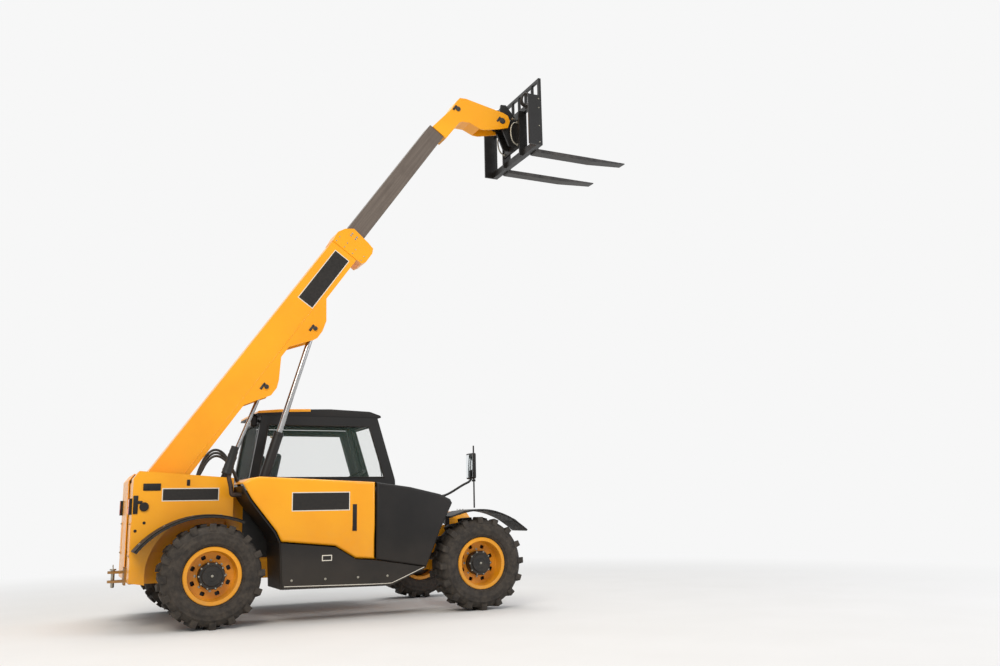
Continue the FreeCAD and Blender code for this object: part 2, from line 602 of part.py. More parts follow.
roof = on_chassis("cab_roof")
rear_lip = s.cab_rear + 55
ridge = s.cab_roof + s.roof_rise
canopy = [(rear_lip, s.cab_roof + s.seat_gap), (rear_lip + 12, s.cab_roof + 38), (706, ridge - 16), (1187, ridge),
          (1589, ridge - 14), (1700, s.cab_roof + 22), (1700, s.cab_roof + s.seat_gap)]
grow(roof, "XZ", [canopy], cab_width + 10, cab_mid)
lined = inset(canopy, 14)
lined[0], lined[-1] = (lined[0][0], s.cab_roof - 5), (lined[-1][0], s.cab_roof - 5)
cut(roof, "XZ", [lined], cab_width - 40, cab_mid)

panes = on_chassis("cab_glass")
g = s.seat_gap
grow(panes, "XZ", [inset(side_window, g)], s.glass, -(s.cab_right + 18))
pane_width = cab_width - post * 2 - g * 2
slope = [(s.cab_front - 25, 1210 + g), (s.cab_front - 25 + s.glass, 1210 + g),
         (s.cab_front - 184 + s.glass, s.cab_roof - 65 - g), (s.cab_front - 184, s.cab_roof - 65 - g)]
grow(panes, "XZ", [slope], pane_width, cab_mid)
rear_slope = [(s.cab_rear + 14, 1210 + g), (s.cab_rear + 14 + s.glass, 1210 + g),
              (s.cab_rear + 100 + s.glass, s.cab_roof - 65 - g), (s.cab_rear + 100, s.cab_roof - 65 - g)]
grow(panes, "XZ", [rear_slope], pane_width, cab_mid)

door = on_chassis("cab_door")
d = s.door_gap
leaf = inset(door_hole, d)
door_y = -(s.cab_left - s.door_thick / 2)
grow(door, "XZ", [leaf], s.door_thick, door_y)
view = [(665, 860), (665, 1200), (710, s.cab_roof - 120), (s.cab_front - 320, s.cab_roof - 120),
        (s.cab_front - 175, 1190), (1575, 860)]
cut(door, "XZ", [view], 200, door_y)

pin_x, pin_y = 594, s.cab_left + s.door_gap + s.hinge_radius
for level in (780, 1150):
    grow(door, "XY", [(pin_x, pin_y, s.hinge_radius)], 60, level)
    grow(door, "XY", [[(pin_x, pin_y - 8), (pin_x + 20, s.cab_left - 4), (pin_x + 60, s.cab_left - 4),
                       (pin_x + 60, s.cab_left + 10), (pin_x + 24, s.cab_left + 14), (pin_x, pin_y + 8)]], 60, level)
    cut(door, "XY", [(pin_x, pin_y, s.hinge_pin + s.run_fit)], 100, level)
    grow(cab, "XY", [(pin_x, pin_y, s.hinge_pin)], 112, level)
    for jump in (-43, 43):
        grow(cab, "XY", [[(pin_x - 40, s.cab_left - 8), (pin_x - 5, s.cab_left - 8), (pin_x + 12, pin_y),
                          (pin_x, pin_y + 15), (pin_x - 12, pin_y + 8)]], 24, level + jump)

door_glass = on_chassis("door_glass")
grow(door_glass, "XZ", [inset(view, g)], s.glass, door_y)

seat_base = on_chassis("seat_base")
floor = s.cab_floor + 25 + g
grow(seat_base, "XZ", [box(700, 1040, floor, floor + 230)], 380, cab_mid)
seat = on_chassis("seat")
cushion = floor + 230 + g
grow(seat, "XZ", [[(680, cushion), (1160, cushion), (1175, cushion + 110), (800, cushion + 100), (690, cushion + 640),
                   (600, cushion + 640), (640, cushion + 60)]], 480, cab_mid)

dash = on_chassis("dashboard")
wheel_x, wheel_z = 1500, 1200
cowl_x = wheel_x + s.column * sine(s.wheel_tilt)
cowl_z = wheel_z - s.column * cosine(s.wheel_tilt)
across_x, across_z = 60 * cosine(s.wheel_tilt), 60 * sine(s.wheel_tilt)
grow(dash, "XZ", [[(1560, floor), (1700, floor), (1740, 810), (1770, 1000), (cowl_x + across_x, cowl_z + across_z),
                   (cowl_x - across_x, cowl_z - across_z), (1560, 950)]], 500, cab_mid)
wheel = on_chassis("steering_wheel")
prism(wheel, "XY", 16, 197, 26)
prism(wheel, "XY", 16, 172, 40, kind="Subtractive")
grow(wheel, "XZ", [box(-180, 180, -10, 2)], 26)
prism(wheel, "XY", 8, 36, 30, -5)
prism(wheel, "XY", 8, 24, s.column - s.seat_gap, -(s.column - s.seat_gap) / 2)
place(wheel, wheel_x - origin_x, -cab_mid, wheel_z, (0, -1, 0), s.wheel_tilt)

tank = on_chassis("side_tank")
grow(tank, "XZ", [[(560, 300), (1560, 300), (1640, 380), (1640, s.cab_floor - g), (560, s.cab_floor - g)]],
     s.body_half - s.frame_half - 20 - g, -(s.body_half - 20 + s.frame_half + g) / 2)

# Exhaust: a pipe out of the rear liner that turns up into a leaning tapered shield.
stack = new_body("exhaust_stack")
pipe = s.exhaust_pipe
liner_x = 228 - s.seat_gap - s.exhaust_x
prism(stack, "YZ", 8, pipe, liner_x + pipe, (liner_x - pipe) / 2)
prism(stack, "XY", 8, pipe, 200, 100 - pipe)
wide = s.exhaust_shield
for width, depth in ((1, 44), (0.5, 78)):
    grow(stack, "XZ", [[(-49 - wide * width, 168), (-49 + wide * width, 180), (18 + (wide - 10) * width, 398),
                        (18 - (wide - 10) * width, 388)]], depth)
place(stack, s.exhaust_x - origin_x, -s.exhaust_y, s.exhaust_z)

lamps = on_chassis("lamps")
for hand in (-1, 1):
    grow(lamps, "XZ", [box(-s.panel_rear - 22, -s.panel_rear - s.seat_gap, 900, 1030)], 90, hand * 505)
    grow(lamps, "XZ", [box(s.frame_front + s.seat_gap, s.frame_front + 45, 520, 610)], 130, hand * 270)

mirrors = on_chassis("mirrors")
grow(mirrors, "XZ", [box(2290, 2325, 1160, 1400)], 170, 760)
drop = s.seat_gap
grow(mirrors, "XZ", [[(1980, 1007.3 + drop), (2034, 982 + drop), (2235, 1100), (2310, 1138), (2310, 1165), (2222, 1122)]], 24, 760)

# Outer boom: long box with two deep lugs under it for the pins of the rams.
def in_boom(label):
    body = new_body(label)
    place(body, s.pivot_x - origin_x, -s.boom_side, s.pivot_z, (0, -1, 0), s.boom_angle)
    return body


outer = in_boom("boom_outer")
low_edge = s.boom_bottom
edge = [(-60, s.boom_top), (-110, 40), (-110, -40), (-60, -150), (60, low_edge)]
edge += [(s.comp_pin_x - 250, low_edge), (s.comp_pin_x - 140, s.comp_pin_z - 12), (s.comp_pin_x - 36, s.comp_pin_z - 80),
         (s.comp_pin_x + 49, s.comp_pin_z - 80), (s.comp_pin_x + 119, s.comp_pin_z - 52), (s.comp_pin_x + 300, low_edge)]
edge += [(s.lift_pin_x - 290, low_edge), (s.lift_pin_x - 98, s.lift_pin_z - 51), (s.lift_pin_x - 59, s.lift_pin_z - 69),
         (s.lift_pin_x + 24, s.lift_pin_z - 68), (s.lift_pin_x + 126, s.lift_pin_z - 40), (s.lift_pin_x + 300, low_edge)]
edge += [(s.boom_front, low_edge), (s.boom_front, s.boom_top)]
grow(outer, "XZ", [edge], s.boom_half * 2)
web = s.boom_half - s.boom_wall
cut(outer, "XZ", [box(60, s.boom_front + 10, s.boom_wall - s.boom_floor, s.boom_top - s.boom_wall)], web * 2)
cut(outer, "XZ", [box(120, s.boom_front + 10, -600, -s.boom_floor)], web * 2)
prism(outer, "XZ", 16, s.pivot_pin + 24, (s.boom_half + s.tower_gap - 6) * 2)
cut(outer, "XZ", [(0, 0, s.pivot_pin + s.run_fit)], 600)
for pin_x, pin_z in ((s.lift_pin_x, s.lift_pin_z), (s.comp_pin_x, s.comp_pin_z)):
    for hand in (-1, 1):
        prism(outer, "XZ", 12, s.ram_pin + 10, s.boom_wall + 4, (s.boom_half - s.boom_wall / 2 + 2) * hand, pin_x, pin_z)

collar = in_boom("boom_collar")
start = s.boom_front + s.seat_gap
mouth = s.collar_front
grow(collar, "XZ", [[(start, 104), (start + 105, 115), (mouth - 60, 81), (mouth, 14), (mouth - 20, -175),
                     (mouth - 35, -248), (mouth - 83, -270), (start + 40, -271), (start, -249)]], s.collar_half * 2)
slide = 5
cut(collar, "XZ", [box(start - 10, mouth + 10, s.inner_bottom - slide, s.inner_top + slide)],
    (s.inner_half + slide) * 2)
rub = s.seat_gap
for lo, hi in ((s.inner_top + rub, s.inner_top + slide + 1), (s.inner_bottom - slide - 1, s.inner_bottom - rub)):
    grow(collar, "XZ", [box(mouth - 90, mouth - 40, lo, hi)], 100)
for hand in (-1, 1):
    grow(collar, "XZ", [box(mouth - 90, mouth - 40, -80, 20)], slide + 1 - rub,
         (s.inner_half + rub + (slide + 1 - rub) / 2) * hand)

inner = in_boom("boom_inner")
grow(inner, "XZ", [box(s.inner_rear, s.head_rear - s.seat_gap, s.inner_bottom, s.inner_top)], s.inner_half * 2)
t = s.inner_wall
cut(inner, "XZ", [box(s.inner_rear - 10, s.head_rear + 10, s.inner_bottom + t, s.inner_top - t)],
    (s.inner_half - t) * 2)

head = in_boom("boom_head")
root = s.head_rear
hx, hz = s.head_pin_x, s.head_pin_z
neck = [(root, s.inner_top - 28), (root + 310, -8), (root + 430, 0), (root + 486, -6), (root + 530, -62),
        (hx + 84, hz + 46), (hx + 99, hz - 17), (hx + 60, hz - 70), (hx - 17, hz - 94), (hx - 96, hz - 32),
        (hx - 233, hz + 90), (hx - 266, hz + 139), (hx - 294, hz + 261), (hx - 342, hz + 330),
        (hx - 376, hz + 350), (root, s.inner_bottom - 30)]
grow(head, "XZ", [neck], s.head_half * 2)
hollow = [(root + 12, s.inner_top - 50), (root + 310, -22), (root + 500, -20), (root + 900, -20), (hx + 300, hz + 40),
          (hx + 300, hz - 300), (hx - 60, hz - 160), (hx - 320, hz + 90), (hx - 300, hz + 141), (hx - 255, hz + 143),
          (hx - 283, hz + 266), (hx - 333, hz + 340), (hx - 370, hz + 362), (root + 12, s.inner_bottom - 18)]
cut(head, "XZ", [hollow], (s.head_half - s.head_plate) * 2)
grow(head, "XZ", [(hx, hz, s.head_pin)], s.head_half * 2 - 8)
grow(head, "XZ", [(s.tilt_x, s.tilt_z, s.ram_pin)], s.head_half * 2 - 8)


# Rams: a barrel with its foot eye, and a rod whose head eye stands between the lugs.
def make_ram(name, foot_x, foot_y, foot_z, eye_x, eye_z, sizes, width):
    bore, rod, body_length, rod_length, pin, eye = sizes
    tilt = bearing(eye_z - foot_z, eye_x - foot_x)
    length_x = eye_x - foot_x
    length_z = eye_z - foot_z
    reach = Size(math.hypot(float(length_x), float(length_z)), "hypot(%s; %s)" % (length_x.text, length_z.text))
    barrel = new_body(name + "_barrel")
    prism(barrel, "XZ", 12, pin + 14, width)
    prism(barrel, "YZ", 12, bore, body_length - pin, (body_length + pin) / 2)
    cut(barrel, "XZ", [(0, 0, pin + s.run_fit)], width * 2)
    hollow = body_length - pin - 28
    cut(barrel, "YZ", [(0, 0, rod + s.run_fit)], hollow + 20, body_length - hollow / 2 + 10)
    place(barrel, foot_x - origin_x, foot_y, foot_z, (0, -1, 0), tilt)
    rod_body = new_body(name + "_rod")
    grow(rod_body, "YZ", [(0, 0, rod)], rod_length - 4, reach - rod_length / 2 - 2)
    prism(rod_body, "XZ", 12, eye, width - 20, 0, reach)
    place(rod_body, foot_x - origin_x, foot_y, foot_z, (0, -1, 0), tilt)


def boom_point(along, across):
    x = s.pivot_x + along * cosine(s.boom_angle) - across * sine(s.boom_angle)
    z = s.pivot_z + along * sine(s.boom_angle) + across * cosine(s.boom_angle)
    return x, z


top_x, top_z = boom_point(s.lift_pin_x, s.lift_pin_z)
make_ram("lift", s.lift_x, -s.lift_side, s.lift_z, top_x, top_z,
         (s.lift_barrel, s.lift_rod, s.lift_body, s.lift_rod_length, s.ram_pin + 4, s.lift_eye), 84)
top_x, top_z = boom_point(s.comp_pin_x, s.comp_pin_z)
make_ram("comp", s.comp_x, -s.comp_side, s.comp_z, top_x, top_z,
         (s.comp_barrel, s.comp_rod, s.comp_body, s.comp_rod_length, s.ram_pin, s.comp_eye), 60)
foot_x, foot_z = boom_point(s.tilt_x, s.tilt_z)
hinge_x, hinge_z = boom_point(s.head_pin_x, s.head_pin_z)
make_ram("tilt", foot_x, -s.boom_side, foot_z, hinge_x + s.tilt_arm_x, hinge_z + s.tilt_arm_z,
         (s.tilt_barrel, s.tilt_rod, s.tilt_body, s.tilt_rod_length, s.ram_pin, s.tilt_eye), 64)


# Carriage: ears on the head's pin, a frame of plates and bars, guard and forks.
def on_carriage(label):
    body = new_body(label)
    place(body, hinge_x - origin_x, -s.boom_side, hinge_z)
    return body


carriage = on_carriage("carriage")
back, face = s.carriage_back, s.carriage_front
ear_mid = s.ear_inner + s.ear_plate / 2
ear = [(-40, -42), (-56, 0), (-40, 42), (s.tilt_arm_x - 45, s.tilt_arm_z - 20), (s.tilt_arm_x - 35, s.tilt_arm_z + 35),
       (s.tilt_arm_x + 25, s.tilt_arm_z + 40), (back + 90, 60), (back + 90, -260), (back, -260), (0, -60)]
for hand in (-1, 1):
    grow(carriage, "XZ", [ear], s.ear_plate, ear_mid * hand)
    grow(carriage, "XZ", [box(back, face, s.carriage_low, s.carriage_high)], 20, (s.carriage_half - 10) * hand)
    grow(carriage, "XZ", [box(back + 60, face, s.carriage_low, s.carriage_high - 40)], 20, 200 * hand)
grow(carriage, "XZ", [box(face - 45, face, s.carriage_high - 55, s.carriage_high)], s.carriage_half * 2)
grow(carriage, "XZ", [box(face - 60, face, s.carriage_low, s.carriage_low + 70)], s.carriage_half * 2)
grow(carriage, "XZ", [box(back + 70, back + 90, -300, 20)], 420)
cut(carriage, "XZ", [(0, 0, s.head_pin + s.run_fit)], 300)

guard = on_carriage("load_guard")
bar = s.guard_bar
base = s.carriage_high + s.seat_gap
grow(guard, "XZ", [box(face - bar, face, s.guard_top - bar, s.guard_top)], s.carriage_half * 2)
grow(guard, "XZ", [box(face - bar, face, base, base + 20)], s.carriage_half * 2)
for number in range(8):
    spot = (s.carriage_half - bar / 2) * (number / 3.5 - 1)
    grow(guard, "XZ", [box(face - bar, face, base, s.guard_top)], bar if number in (0, 7) else 16, spot)

forks = on_carriage("forks")
heel = face + s.seat_gap
for hand in (-1, 1):
    tip = face + s.fork_length
    grow(forks, "XZ", [[(heel, s.carriage_high - 20), (heel, s.fork_low + 12), (heel + 12, s.fork_low),
                        (tip - 420, s.fork_low), (tip, s.fork_low + s.fork_thick - 10), (tip, s.fork_low + s.fork_thick),
                        (heel + s.fork_thick, s.fork_low + s.fork_thick), (heel + s.fork_thick, s.carriage_high - 20)]],
         s.fork_width, s.fork_spread * hand)

doc.recompute()
for item in doc.Objects:
    if "Invalid" in item.State or "Error" in item.State:
        raise RuntimeError("%s failed: %s" % (item.Name, item.State))
for item in NODES:
    if item.Shape.isNull() or not item.Shape.isValid():
        raise RuntimeError("%s has no sound shape" % item.Label)
for item in NODES:
    item.Shape.exportStep("parts/%s.step" % item.Label)
    print(item.Label, round(item.Shape.Volume / 1e6, 2), "litres")
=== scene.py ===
import bpy
import bmesh
import math
from mathutils import Matrix, Vector


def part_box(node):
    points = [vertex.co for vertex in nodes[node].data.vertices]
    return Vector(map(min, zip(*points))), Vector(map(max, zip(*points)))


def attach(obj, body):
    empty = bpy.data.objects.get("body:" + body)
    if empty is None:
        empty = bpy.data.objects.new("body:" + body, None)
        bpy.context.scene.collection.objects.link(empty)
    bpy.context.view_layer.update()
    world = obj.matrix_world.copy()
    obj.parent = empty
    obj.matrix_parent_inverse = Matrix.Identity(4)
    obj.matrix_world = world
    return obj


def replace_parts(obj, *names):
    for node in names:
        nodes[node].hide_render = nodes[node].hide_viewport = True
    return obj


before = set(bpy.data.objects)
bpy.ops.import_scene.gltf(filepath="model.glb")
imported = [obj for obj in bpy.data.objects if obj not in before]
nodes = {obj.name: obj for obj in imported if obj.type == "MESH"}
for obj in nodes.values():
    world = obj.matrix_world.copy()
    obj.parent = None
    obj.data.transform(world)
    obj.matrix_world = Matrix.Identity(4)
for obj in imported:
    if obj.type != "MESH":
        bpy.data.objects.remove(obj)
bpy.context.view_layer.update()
print("frame loaded:", len(nodes), "nodes")


def boxMiddle(node):
    low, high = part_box(node)
    return (low + high) / 2


rearAxleX = boxMiddle("axle_rear").x
frontAxleX = boxMiddle("axle_front").x
boomAngle = math.radians(54.6)
boomSide = -0.200
boomPivot = Vector((rearAxleX - 0.437, boomSide, 1.122))
boomFrame = Matrix.Translation(boomPivot) @ Matrix.Rotation(-boomAngle, 4, "Y")
forkHinge = boomFrame @ Vector((5.120, 0, -0.510))
carriageFrame = Matrix.Translation(forkHinge)
chassisFrame = Matrix.Translation(Vector((rearAxleX, 0, 0)))


# camera: solved from the wheels, the roof and the body
camera = {"place": (-1.200, -8.624, 0.871), "yaw": 26.01, "pitch": 10.94, "roll": -1.26, "lens": 33.04}
yaw, pitch, roll = (math.radians(camera[key]) for key in ("yaw", "pitch", "roll"))
forward = Vector((math.sin(yaw) * math.cos(pitch), math.cos(yaw) * math.cos(pitch), math.sin(pitch)))
level = Vector((math.cos(yaw), -math.sin(yaw), 0))
upward = level.cross(forward)
right = level * math.cos(roll) + upward * math.sin(roll)
top = upward * math.cos(roll) - level * math.sin(roll)
cameraData = bpy.data.cameras.new("photoCamera")
cameraData.lens = camera["lens"]
cameraData.sensor_width = 36
cameraData.clip_end = 200
cameraObject = bpy.data.objects.new("photoCamera", cameraData)
bpy.context.scene.collection.objects.link(cameraObject)
cameraObject.matrix_world = Matrix.Translation(Vector(camera["place"]) + Vector((rearAxleX, 0, 0))) @ Matrix(
    (right, top, -forward)).transposed().to_4x4()
bpy.context.scene.camera = cameraObject
print("camera set")


# materials
def fromHex(text):
    parts = [int(text[i:i + 2], 16) / 255 for i in (1, 3, 5)]
    return tuple(p / 12.92 if p <= 0.04045 else ((p + 0.055) / 1.055) ** 2.4 for p in parts) + (1.0,)


def addNode(tree, kind, settings=None, links=None):
    node = tree.nodes.new(kind)
    for key, value in (settings or {}).items():
        if isinstance(key, int) or key in node.inputs:
            node.inputs[key].default_value = value
        else:
            setattr(node, key, value)
    for key, source in (links or {}).items():
        tree.links.new(source, node.inputs[key])
    return node


def newMaterial(name):
    material = bpy.data.materials.new(name)
    material.use_nodes = True
    tree = material.node_tree
    tree.nodes.clear()
    return material, tree, addNode(tree, "ShaderNodeTexCoord").outputs["Object"]


def closeMaterial(material, tree, settings, links):
    shader = addNode(tree, "ShaderNodeBsdfPrincipled", settings, links)
    addNode(tree, "ShaderNodeOutputMaterial", links={"Surface": shader.outputs[0]})
    finishes[material.name] = material


finishes = {}


# two-pack enamel sprayed on steel plate: a clear even sheen, faint orange peel in the highlights, road dust low down
def enamelFinish(name, base, deeper, dustReach, dustShare, sheen, coat):
    material, tree, place = newMaterial(name)
    film = addNode(tree, "ShaderNodeTexNoise", {"Scale": 2.2, "Detail": 4.0}, {"Vector": place})
    drift = addNode(tree, "ShaderNodeMapRange", {"From Min": 0.3, "From Max": 0.75}, {"Value": film.outputs["Fac"]})
    tone = addNode(tree, "ShaderNodeMix", {"data_type": "RGBA", 6: fromHex(base), 7: fromHex(deeper)}, {0: drift.outputs[0]})
    height = addNode(tree, "ShaderNodeSeparateXYZ", links={"Vector": place})
    fall = addNode(tree, "ShaderNodeMapRange", {"From Max": dustReach, "To Min": dustShare, "To Max": 0.0},
                   {"Value": height.outputs["Z"]})
    blotch = addNode(tree, "ShaderNodeTexNoise", {"Scale": 11.0, "Detail": 6.0, "Roughness": 0.65}, {"Vector": place})
    spread = addNode(tree, "ShaderNodeMapRange", {"From Min": 0.35, "From Max": 0.7}, {"Value": blotch.outputs["Fac"]})
    dust = addNode(tree, "ShaderNodeMath", {"operation": "MULTIPLY"}, {0: fall.outputs[0], 1: spread.outputs[0]})
    colour = addNode(tree, "ShaderNodeMix", {"data_type": "RGBA", 7: fromHex("#A08F78")},
                     {0: dust.outputs[0], 6: tone.outputs[2]})
    smear = addNode(tree, "ShaderNodeTexNoise", {"Scale": 16.0, "Detail": 5.0}, {"Vector": place})
    rough = addNode(tree, "ShaderNodeMapRange", {"From Min": 0.3, "From Max": 0.7, "To Min": sheen - 0.05,
                                                 "To Max": sheen + 0.09},
                    {"Value": smear.outputs["Fac"]})
    peel = addNode(tree, "ShaderNodeTexNoise", {"Scale": 170.0, "Detail": 2.0}, {"Vector": place})
    bump = addNode(tree, "ShaderNodeBump", {"Distance": 0.0004, "Strength": 0.35}, {"Height": peel.outputs["Fac"]})
    closeMaterial(material, tree, {"Coat Weight": coat, "Coat Roughness": 0.12, "Specular IOR Level": 0.35},
                  {"Base Color": colour.outputs[2], "Roughness": rough.outputs[0], "Normal": bump.outputs[0]})


# the amber body colour, kept clean and bright as on a machine a few seasons old
enamelFinish("amberEnamel", "#F5A80E", "#EE9B08", 0.9, 0.2, 0.34, 0.2)
# the same amber on the wheels, duller and thick with dust
enamelFinish("rimEnamel", "#EFA012", "#D58D10", 0.75, 0.35, 0.42, 0.15)
# black enamel of cab, rams and carriage, which shows the sky as soft grey bands
enamelFinish("blackEnamel", "#100F0E", "#191715", 0.8, 0.14, 0.4, 0.1)
# axle castings painted amber and scoured brown by stones
enamelFinish("axleEnamel", "#B57C22", "#7A5A26", 0.9, 0.7, 0.52, 0.05)


# panels moulded in black polyethylene: fine leather grain, dull, greyed a little with dust
def mouldedFinish(name, base, grain, dustReach, dustShare, dull):
    material, tree, place = newMaterial(name)
    cloud = addNode(tree, "ShaderNodeTexNoise", {"Scale": 3.3, "Detail": 5.0}, {"Vector": place})
    drift = addNode(tree, "ShaderNodeMapRange", {"From Min": 0.35, "From Max": 0.7}, {"Value": cloud.outputs["Fac"]})
    tone = addNode(tree, "ShaderNodeMix", {"data_type": "RGBA", 6: fromHex(base), 7: fromHex("#1F1C1A")}, {0: drift.outputs[0]})
    height = addNode(tree, "ShaderNodeSeparateXYZ", links={"Vector": place})
    fall = addNode(tree, "ShaderNodeMapRange", {"From Max": dustReach, "To Min": dustShare, "To Max": 0.0},
                   {"Value": height.outputs["Z"]})
    dust = addNode(tree, "ShaderNodeMath", {"operation": "MULTIPLY"}, {0: fall.outputs[0], 1: cloud.outputs["Fac"]})
    colour = addNode(tree, "ShaderNodeMix", {"data_type": "RGBA", 7: fromHex("#7D7060")},
                     {0: dust.outputs[0], 6: tone.outputs[2]})
    pits = addNode(tree, "ShaderNodeTexVoronoi", {"Scale": 1 / grain, "feature": "SMOOTH_F1"}, {"Vector": place})
    bump = addNode(tree, "ShaderNodeBump", {"Distance": 0.0008, "Strength": 0.5}, {"Height": pits.outputs["Distance"]})
    rough = addNode(tree, "ShaderNodeMapRange", {"From Min": 0.3, "From Max": 0.7, "To Min": dull - 0.07, "To Max": dull + 0.07},
                    {"Value": cloud.outputs["Fac"]})
    closeMaterial(material, tree, {"Specular IOR Level": 0.3},
                  {"Base Color": colour.outputs[2], "Roughness": rough.outputs[0], "Normal": bump.outputs[0]})


# outer covers: pod, sill, fenders and roof, with a coarse 4 mm grain that softens the sky's reflection
mouldedFinish("mouldedPlastic", "#131110", 0.004, 0.7, 0.32, 0.5)
# soft-touch trim inside the cab, greyer and duller
mouldedFinish("softTouchTrim", "#262422", 0.006, 0.1, 0.0, 0.62)


# bare pressed steel of the sliding section: brown-grey, brushed in long lines along its travel
def brushedSteel(name):
    material, tree, place = newMaterial(name)
    along = addNode(tree, "ShaderNodeMapping", {"vector_type": "TEXTURE", "Rotation": (0, -boomAngle, 0), "Scale": (2.9, 0.08,
                                                                                                                    0.08)},
                    {"Vector": place})
    streak = addNode(tree, "ShaderNodeTexNoise", {"Scale": 5.0, "Detail": 7.0, "Roughness": 0.65}, {"Vector": along.outputs[0]})
    share = addNode(tree, "ShaderNodeMapRange", {"From Min": 0.35, "From Max": 0.7}, {"Value": streak.outputs["Fac"]})
    tone = addNode(tree, "ShaderNodeMix", {"data_type": "RGBA", 6: fromHex("#5C524A"), 7: fromHex("#70655B")},
                   {0: share.outputs[0]})
    stain = addNode(tree, "ShaderNodeTexNoise", {"Scale": 4.0, "Detail": 5.0, "Roughness": 0.6}, {"Vector": place})
    patch = addNode(tree, "ShaderNodeMapRange", {"From Min": 0.5, "From Max": 0.75, "To Max": 0.45},
                    {"Value": stain.outputs["Fac"]})
    colour = addNode(tree, "ShaderNodeMix", {"data_type": "RGBA", 7: fromHex("#453A32")},
                     {0: patch.outputs[0], 6: tone.outputs[2]})
    rough = addNode(tree, "ShaderNodeMapRange", {"From Min": 0.3, "From Max": 0.7, "To Min": 0.38, "To Max": 0.58},
                    {"Value": streak.outputs["Fac"]})
    bump = addNode(tree, "ShaderNodeBump", {"Distance": 0.0005, "Strength": 0.4}, {"Height": streak.outputs["Fac"]})
    closeMaterial(material, tree, {"Metallic": 0.35},
                  {"Base Color": colour.outputs[2], "Roughness": rough.outputs[0], "Normal": bump.outputs[0]})


brushedSteel("brushedSteel")


# metals told apart by how their skin was made: plated, ground, cast, scaled by heat or rubbed bright
def metalFinish(name, base, second, rough, metallic, grain, depth):
    material, tree, place = newMaterial(name)
    cloud = addNode(tree, "ShaderNodeTexNoise", {"Scale": 1 / grain, "Detail": 5.0, "Roughness": 0.6}, {"Vector": place})
    share = addNode(tree, "ShaderNodeMapRange", {"From Min": 0.35, "From Max": 0.7}, {"Value": cloud.outputs["Fac"]})
    colour = addNode(tree, "ShaderNodeMix", {"data_type": "RGBA", 6: fromHex(base), 7: fromHex(second)}, {0: share.outputs[0]})
    shine = addNode(tree, "ShaderNodeMapRange", {"From Min": 0.3, "From Max": 0.7, "To Min": max(0.04, rough - 0.06),
                                                 "To Max": rough + 0.08},
                    {"Value": cloud.outputs["Fac"]})
    bump = addNode(tree, "ShaderNodeBump", {"Distance": depth, "Strength": 0.25}, {"Height": cloud.outputs["Fac"]})
    closeMaterial(material, tree, {"Metallic": metallic},
                  {"Base Color": colour.outputs[2], "Roughness": shine.outputs[0], "Normal": bump.outputs[0]})


# ground and hard-chromed rods: mirror bright with a faint haze
metalFinish("hardChrome", "#B4B3B1", "#98989A", 0.14, 1.0, 0.03, 0.0001)
# zinc-plated bolts and fittings: pale, matt, slightly yellow
metalFinish("zincPlate", "#A9A59A", "#8D8878", 0.38, 1.0, 0.02, 0.0003)
# sand-cast iron of ballast and engine: near black with a pebbled skin
metalFinish("sandCastIron", "#2C2A28", "#3A3632", 0.7, 0.2, 0.012, 0.0012)
# exhaust pipe scaled by heat: brown-grey, dry and blotched
metalFinish("scaledSteel", "#4E4038", "#2E2723", 0.6, 0.7, 0.03, 0.0006)
# forged forks: black scale rubbed bright in patches
metalFinish("forgedSteel", "#262422", "#4A4642", 0.45, 0.5, 0.08, 0.0005)
# silvered mirror behind glass: clear reflection
metalFinish("silveredGlass", "#E8ECEE", "#E3E8EB", 0.05, 1.0, 0.5, 0.00001)


# vulcanised off-road rubber: charcoal, chalky with road dust in soft blotches, gritty to the eye
def vulcanisedRubber(name):
    material, tree, place = newMaterial(name)
    cloud = addNode(tree, "ShaderNodeTexNoise", {"Scale": 20.0, "Detail": 7.0, "Roughness": 0.7}, {"Vector": place})
    chalk = addNode(tree, "ShaderNodeMapRange", {"From Min": 0.35, "From Max": 0.72, "To Min": 0.1, "To Max": 0.62},
                    {"Value": cloud.outputs["Fac"]})
    colour = addNode(tree, "ShaderNodeMix", {"data_type": "RGBA", 6: fromHex("#1D1B1A"), 7: fromHex("#5E554B")},
                     {0: chalk.outputs[0]})
    rough = addNode(tree, "ShaderNodeMapRange", {"To Min": 0.72, "To Max": 0.92}, {"Value": chalk.outputs[0]})
    grit = addNode(tree, "ShaderNodeTexNoise", {"Scale": 250.0, "Detail": 4.0, "Roughness": 0.7}, {"Vector": place})
    bump = addNode(tree, "ShaderNodeBump", {"Distance": 0.0012, "Strength": 0.55}, {"Height": grit.outputs["Fac"]})
    closeMaterial(material, tree, {"Specular IOR Level": 0.3},
                  {"Base Color": colour.outputs[2], "Roughness": rough.outputs[0], "Normal": bump.outputs[0]})


vulcanisedRubber("vulcanisedRubber")


# extruded rubber and vinyl: hoses, seals, strips and patches, dark with a waxy sheen
def extrudedFinish(name, base, second, dull):
    material, tree, place = newMaterial(name)
    cloud = addNode(tree, "ShaderNodeTexNoise", {"Scale": 50.0, "Detail": 4.0}, {"Vector": place})
    share = addNode(tree, "ShaderNodeMapRange", {"From Min": 0.3, "From Max": 0.7}, {"Value": cloud.outputs["Fac"]})
    colour = addNode(tree, "ShaderNodeMix", {"data_type": "RGBA", 6: fromHex(base), 7: fromHex(second)}, {0: share.outputs[0]})
    rough = addNode(tree, "ShaderNodeMapRange", {"From Min": 0.3, "From Max": 0.7, "To Min": dull - 0.08, "To Max": dull + 0.1},
                    {"Value": cloud.outputs["Fac"]})
    fine = addNode(tree, "ShaderNodeTexNoise", {"Scale": 330.0, "Detail": 2.0}, {"Vector": place})
    bump = addNode(tree, "ShaderNodeBump", {"Distance": 0.0004, "Strength": 0.4}, {"Height": fine.outputs["Fac"]})
    closeMaterial(material, tree, {"Specular IOR Level": 0.35},
                  {"Base Color": colour.outputs[2], "Roughness": rough.outputs[0], "Normal": bump.outputs[0]})


